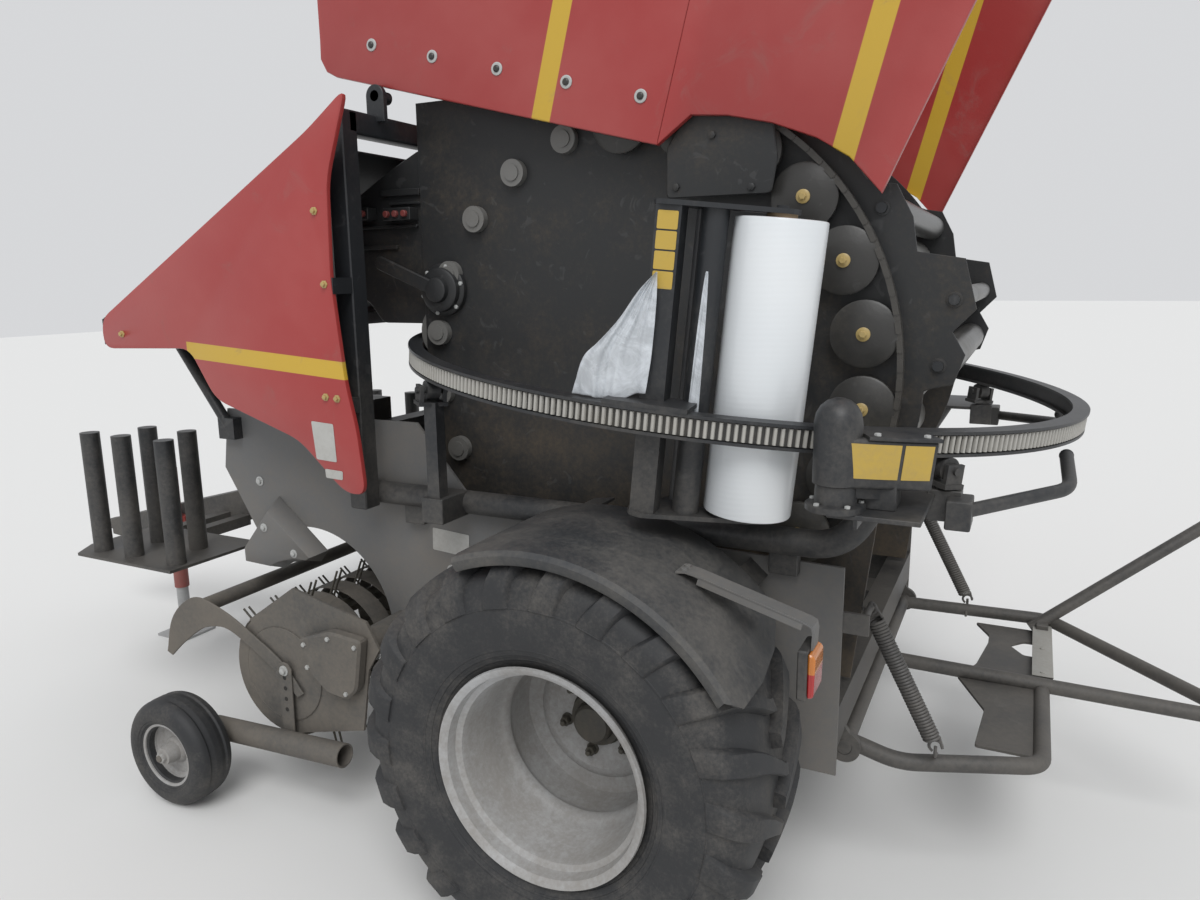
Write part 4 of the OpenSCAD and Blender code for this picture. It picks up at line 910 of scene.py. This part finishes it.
for word, side in both_sides:
    flank = Surface().rings(plate(side_outline, side * flank_y, side * 0.62, 0.0015))
    flank.rings(plate(chain_cover, side * 0.69, side * 0.7, 0.003))
    for x, z in ((0.11, 2.09), (0.33, 2.08), (0.215, 2.223)):
        flank.bar([(0, 0.012), (0.085, 0.012)], 16, (axle_x + x, side * flank_y, z), (0, side, 0))
        flank.bar([(0, 0.011), (0.007, 0.011), (0.009, 0.007)], 6, (axle_x + x, side * 0.6995, z),
                  (0, side, 0))
    flank.bar([(0, 0.088), (0.028, 0.088), (0.032, 0.084), (0.034, 0.074), (0.051, 0.072), (0.055, 0.066),
               (0.056, 0.043), (0.072, 0.04), (0.075, 0.034)], 48,
              (axle_x + TENSIONER[0], side * flank_y, TENSIONER[1]), (0, side, 0))
    flank.rings(plate(arm_outline, side * 0.668, side * 0.682, 0.003))
    for spoke in np.radians(np.arange(15, 360, 60)):
        place = (axle_x + TENSIONER[0] + 0.08 * math.cos(spoke), side * 0.643,
                 TENSIONER[1] + 0.08 * math.sin(spoke))
        flank.bar([(-0.006, 0.0075), (0.003, 0.0075), (0.004, 0.005)], 6, place, (0, side, 0), 1)
    for x, z, _ in NET_ROLLERS:
        flank.bar([(-0.001, 0.021), (0.003, 0.021), (0.004, 0.015), (0.012, 0.014), (0.014, 0.01)], 24,
                  (axle_x + x, side * 0.62, z), (0, side, 0))
    flank.piece("chamber_plate_" + word, "chassis", "frame_black", (chaff_black, zinc_washer),
                ("chamber_side_" + word,))
worn_black = dusty_paint("worn_black", (0.06, 0.06, 0.058), 0.34, 0.6, (0.2, 0.185, 0.155))
net = Surface()
for x, z, thick in NET_ROLLERS:
    net.bar([(-0.606, thick - 0.003), (-0.603, thick), (0.603, thick), (0.606, thick - 0.003)], 40,
            (axle_x + x, 0, z), (0, 1, 0))
    net.bar([(-0.635, 0.014), (0.635, 0.014)], 16, (axle_x + x, 0, z), (0, 1, 0), 1)
net.piece("net_roller_tubes", "chassis", "frame_black", (worn_black, frame_black), ("net_rollers",))


# Ring's carrier: thick bent tubes along both sides, welded to the walls on saddles, and a square arch
# in front with the hood's hinge ears. Tables on the raised ends carry the drive; thin guards lie behind.
def bent(corners, reach_back, between=8):
    """A path through corners, each one rounded by a parabola that starts and ends reach_back from it."""
    p = np.array(corners, float)
    t = np.linspace(0, 1, between)[:, None]
    parts = [p[:1]]
    for before, corner, after in zip(p[:-2], p[1:-1], p[2:]):
        a, b = corner + unit(before - corner) * reach_back, corner + unit(after - corner) * reach_back
        parts.append((1 - t) ** 2 * a + 2 * t * (1 - t) * corner + t ** 2 * b)
    return np.concatenate(parts + [p[-1:]]) + (axle_x, 0, 0)


def beam(x0, x1, y0, y1, z0, z1, corner=0.004):
    """A welded box or plate with rounded long edges and bevelled end faces; x is given from the axle."""
    outline = from_axle([(x0, z0), (x1, z0), (x1, z1), (x0, z1)])
    return plate(rounded(outline, corner, 4), y0, y1, corner / 2)


table_z, arch_z, tube_y = 1.3, 2.36, 0.828
guide_r = 1.146  # of the circle of the ring's guide brackets
carrier = Surface()
carrier.rings(beam(-0.965, -0.895, -0.895, 0.895, arch_z - 0.07, arch_z, 0.008))
for side in (-1, 1):
    carrier.rings(beam(-0.965, -0.895, side * 0.86, side * 0.93, 1.09, arch_z, 0.008))
    ear = np.concatenate(([(-0.935, 2.34), (-0.865, 2.34)], circle_line((-0.9, 2.42), 0.035, 0, 180, 20)))
    carrier.rings(plate(from_axle(ear), side * 0.745, side * 0.765))
    carrier.bar([(0, 0.02), (0.063, 0.02), (0.065, 0.017)], 28, (axle_x - 0.9, side * 0.7, 2.42),
                (0, side, 0))
    rise = bent([(-0.965, side * tube_y, 1.13), (0.64, side * tube_y, 1.13),
                 (0.73, side * tube_y, table_z - 0.006)], 0.085, 12)
    carrier.rings(tube(rise, 0.038, 36))
    carrier.bar([(0, 0.04), (0.006, 0.04)], 36, (axle_x - 0.971, side * tube_y, 1.13), (1, 0, 0))
    carrier.rings(beam(0.65, 0.86, side * 0.765, side * 1.12, table_z - 0.012, table_z))
    carrier.rings(beam(0.7, 0.712, side * 0.8, side * 1.06, table_z - 0.052, table_z - 0.011))
    carrier.rings(beam(0.89, 0.95, side * 0.79, side * 0.89, table_z - 0.075, table_z - 0.002, 0.006))
    guard_path = bent([(0.925, side * 0.84, table_z - 0.038), (1.17, side * 0.57, table_z - 0.015),
                       (1.16, side * 0.4, table_z + 0.04)], 0.045)
    carrier.rings(tube(guard_path, 0.018, 24, (0, 0, 1.0)))
    tip = [(r - 0.018, 0.018 * math.sqrt(max(0, 1 - (r / 0.018) ** 2)) + 0.001)
           for r in np.linspace(0.0, 0.018, 6)]
    end_way = guard_path[-1] - guard_path[-2]
    carrier.bar([(h + 0.018, r) for h, r in tip], 24, guard_path[-1], end_way)
    for x in (-0.78, -0.1, 0.48):
        carrier.rings(beam(x - 0.04, x + 0.04, side * 0.789, side * tube_y, 1.03, 1.115))
    for turn, low in ((-125, 1.09), (-44, 1.23)):
        x = ring_x + guide_r * math.cos(math.radians(turn)) * math.cos(ring_tilt)
        y = guide_r * abs(math.sin(math.radians(turn)))
        carrier.rings(beam(x - 0.04, x + 0.04, side * min(tube_y, y - 0.035), side * max(tube_y, y + 0.035),
                           low, low + 0.08))
carrier.piece("carrier_tubes", "chassis", "frame_black", (frame_black,), ("carrier_frame",))


# Net box: a dark sheet box between the chamber and the front cover, where the net's rolls are kept. It
# has folded ribs along its flanks and a row of small valve blocks with faded red caps on the left one.
box_outline = rounded(from_axle([(-0.8505, 1.69), (-0.8505, 2.272), (-0.985, 2.21), (-1.165, 2.112),
                                 (-1.19, 1.8), (-1.105, 1.76), (-1.05, 1.69)]), 0.02, 5)
net_box = Surface().rings(plate(box_outline, -0.606, 0.606, 0.003))
for side in (-1, 1):
    for x0, x1, z, tall in ((-1.02, -0.855, 2.135, 0.022), (-0.985, -0.856, 2.098, 0.008),
                            (-1.16, -0.87, 2.022, 0.01), (-1.13, -0.96, 1.953, 0.014)):
        net_box.rings(beam(x0, x1, side * 0.605, side * 0.618, z - tall / 2, z + tall / 2, 0.003))
for x0, x1, low in ((-1.15, -1.05, 2.046), (-0.985, -0.87, 2.04)):
    net_box.rings(beam(x0, x1, -0.655, -0.605, low, low + 0.042, 0.004))
    for x in np.linspace(x0 + 0.02, x1 - 0.02, 3):
        net_box.bar([(0, 0.011), (0.012, 0.011), (0.014, 0.009)], 20, (axle_x + x, -0.654, low + 0.021),
                    (0, -1, 0), 1)
old_red = dusty_paint("old_red", (0.2, 0.045, 0.04), 0.5, 0.6, (0.14, 0.11, 0.09))
net_box.piece("net_box", "chassis", "frame_black", (chaff_black, old_red))


# Ring's drive: a cast casing that follows the ring's edge, with two bare plates on its face. An upright
# motor with a domed cover stands at its end, on a flange bolted to the left table.
yellow_plate = dusty_paint("yellow_plate", (0.5, 0.34, 0.06), 0.5, 0.55, (0.26, 0.22, 0.15))
drive_turns = np.radians(np.linspace(-61.0, -50.6, 16))
motor_turn, motor_r = math.radians(-60.8), 1.232
drive = Surface()


def along_ring(section, turns):
    """A section of (distance from the ring's axis, height over its middle), carried round the ring."""
    flat = np.array(section, float)
    upright = np.stack((flat[:, 0], 0 * flat[:, 0], flat[:, 1]), -1)
    return on_ring(upright, np.asarray(turns)[:, None])


drive.rings(along_ring(rounded([(1.18, -0.085), (1.285, -0.085), (1.285, 0.034), (1.18, 0.034)], 0.01, 4),
                       drive_turns))
drive.rings(along_ring(rounded([(1.174, 0.033), (1.291, 0.033), (1.291, 0.042), (1.174, 0.042)], 0.003, 3),
                       np.radians(np.linspace(-58.4, -50.3, 12))))
foot = np.array((axle_x + ring_x + motor_r * math.cos(motor_turn), motor_r * math.sin(motor_turn), table_z))
drive.bar([(0.0003, 0.07), (0.014, 0.07), (0.016, 0.066), (0.017, 0.05), (0.06, 0.048), (0.064, 0.055),
           (0.205, 0.056), (0.228, 0.052), (0.246, 0.042), (0.258, 0.028), (0.264, 0.012)], 48, foot,
          (0, 0, 1))
for spoke in np.radians(np.arange(20, 360, 72)):
    place = foot + (0.06 * math.cos(spoke), 0.06 * math.sin(spoke), 0.015)
    drive.bar([(0, 0.007), (0.006, 0.007), (0.007, 0.005)], 6, place, (0, 0, 1), 1)
for turn in (-57.2, -51.6):
    place = along_ring([(1.27, 0.042)], [math.radians(turn)])[0, 0]
    drive.bar([(-0.001, 0.009), (0.005, 0.008), (0.006, 0.005)], 6, place, (0, 0, 1), 1)
drive.rings(beam(0.715, 0.795, -1.05, -0.96, table_z - 0.001, 1.372, 0.006))
drive.rings(along_ring([(1.262, -0.11), (1.27, -0.11), (1.27, -0.084), (1.262, -0.084)],
                       np.radians([-60, -54.5])))
for first, last in ((-60.2, -54.7), (-54.3, -51.0)):
    drive.rings(along_ring([(1.2852, -0.058), (1.2864, -0.058), (1.2864, 0.024), (1.2852, 0.024)],
                           np.radians(np.linspace(first, last, 8))), finish=2)
drive.piece("ring_motor", "chassis", "frame_black", (frame_black, zinc_washer, yellow_plate),
            ("ring_drive",))


# Drop frame: bent tubes behind the machine that the wrapped bale rolls over. The near tube turns across
# it, the far one runs in to the middle, and an arm rises to the rear. Cut plates are welded between them.
drop = Surface()
for path, thick in (([(0.63, -0.62, 0.47), (0.79, -0.62, 0.43), (1.17, -0.47, 0.43), (1.17, 0.575, 0.43)],
                     0.025), ([(0.63, 0.62, 0.47), (1.19, 0.64, 0.475), (1.735, 0.09, 0.444)], 0.024),
                    ([(0.64, 0.045, 0.46), (1.78, 0.085, 0.43)], 0.025),
                    ([(1.13, 0.59, 0.447), (1.935, 0.85, 1.08)], 0.023)):
    drop.rings(tube(bent(path, 0.055), thick, 32, (0, 0, 1.0)))
knob = [(0.027 * math.cos(a), 0.027 * math.sin(a)) for a in np.linspace(math.pi * 0.97, math.pi * 0.03, 14)]
drop.bar(knob, 28, (axle_x + 1.933, 0.849, 1.079), (0, 0, 1))
drop.bar([(-0.675, 0.022), (-0.673, 0.024), (0.673, 0.024), (0.675, 0.022)], 32, (axle_x + 0.64, 0, 0.47),
         (0, 1, 0))
drop.rings(beam(1.148, 1.192, 0.545, 0.645, 0.412, 0.481, 0.006))
drop.rings(beam(1.138, 1.204, 0.1, 0.6, 0.451, 0.4625, 0.002))
GUSSET = [(0.93, 0.6), (0.985, 0.48), (0.985, 0.4), (0.955, 0.18), (0.9, 0.05), (1.0, -0.18),
          (0.985, -0.43), (1.16, -0.43), (1.16, 0.33), (1.11, 0.33), (1.06, 0.41), (1.11, 0.47),
          (1.16, 0.47), (1.16, 0.6)]
flat = rounded(from_axle(GUSSET), 0.012, 4)
drop.rings([np.column_stack((inset(flat, d), np.full(len(flat), z)))
            for d, z in ((0.001, 0.425), (0, 0.426), (0, 0.434), (0.001, 0.435))])
drop.piece("drop_tubes", "drop", "frame_black", (frame_black,), ("drop_frame",))


# Flat bar: a bare galvanised steel strip under the rolling bale. Three flat screws hold it on the drop
# frame's cross tube.
bare_zinc = dusty_paint("bare_zinc", (0.36, 0.36, 0.34), 0.5, 0.5, (0.22, 0.2, 0.17))
bar_middle = (axle_x + 1.171, 0.4635)
bar_section = rounded([(-0.034, 0), (0.034, 0), (0.034, -0.004), (-0.034, -0.004)], 0.0015, 3) + bar_middle
roll_bar = Surface().rings([[(x, y, z) for x, z in bar_section] for y in (0.1, 0.602)])
for y in (0.13, 0.35, 0.57):
    roll_bar.bar([(0, 0.009), (0.004, 0.008), (0.0045, 0.005)], 20, (bar_middle[0], y, bar_middle[1]),
                 (0, 0, 1))
roll_bar.piece("roll_bar", "drop", "frame_black", (bare_zinc,))


# Plates: blank rectangles of thin sheet and film with rounded corners, stuck on the side wall, on the
# left panel and in a row up the left dispenser's post.
pale_plate = dusty_paint("pale_plate", (0.46, 0.46, 0.44), 0.55, 0.65, (0.28, 0.26, 0.23))
blank = Surface()
for outline, y in (([(-0.737, 0.935), (-0.59, 0.925), (-0.585, 1.003), (-0.734, 1.013)], -wall_y),
                   ([(-1.01, 1.272), (-0.925, 1.268), (-0.93, 1.392), (-1.022, 1.397)], -panel_y - 0.0003),
                   ([(-0.975, 1.213), (-0.905, 1.211), (-0.903, 1.24), (-0.977, 1.243)], -panel_y - 0.0003)):
    blank.rings(plate(rounded(from_axle(outline), 0.006, 4), y, y - 0.0012, 0.0004))
blank.piece("blank_plates", "chassis", "frame_black", (pale_plate,))

post_plates = Surface()
for low, high in ((0.322, 0.364), (0.368, 0.412), (0.416, 0.46), (0.464, 0.508)):
    flat = rounded([(-0.026, low), (0.026, low), (0.026, high), (-0.026, high)], 0.004, 4)
    rings = [[(r, a, h) for a, h in inset(flat, d)] for d, r in ((0, 1.1008), (0, 1.1016), (0.0004, 1.102))]
    post_plates.rings(on_ring(rings, post_turn))
post_plates.piece("post_plates", "ring", "frame_black", (yellow_plate,))
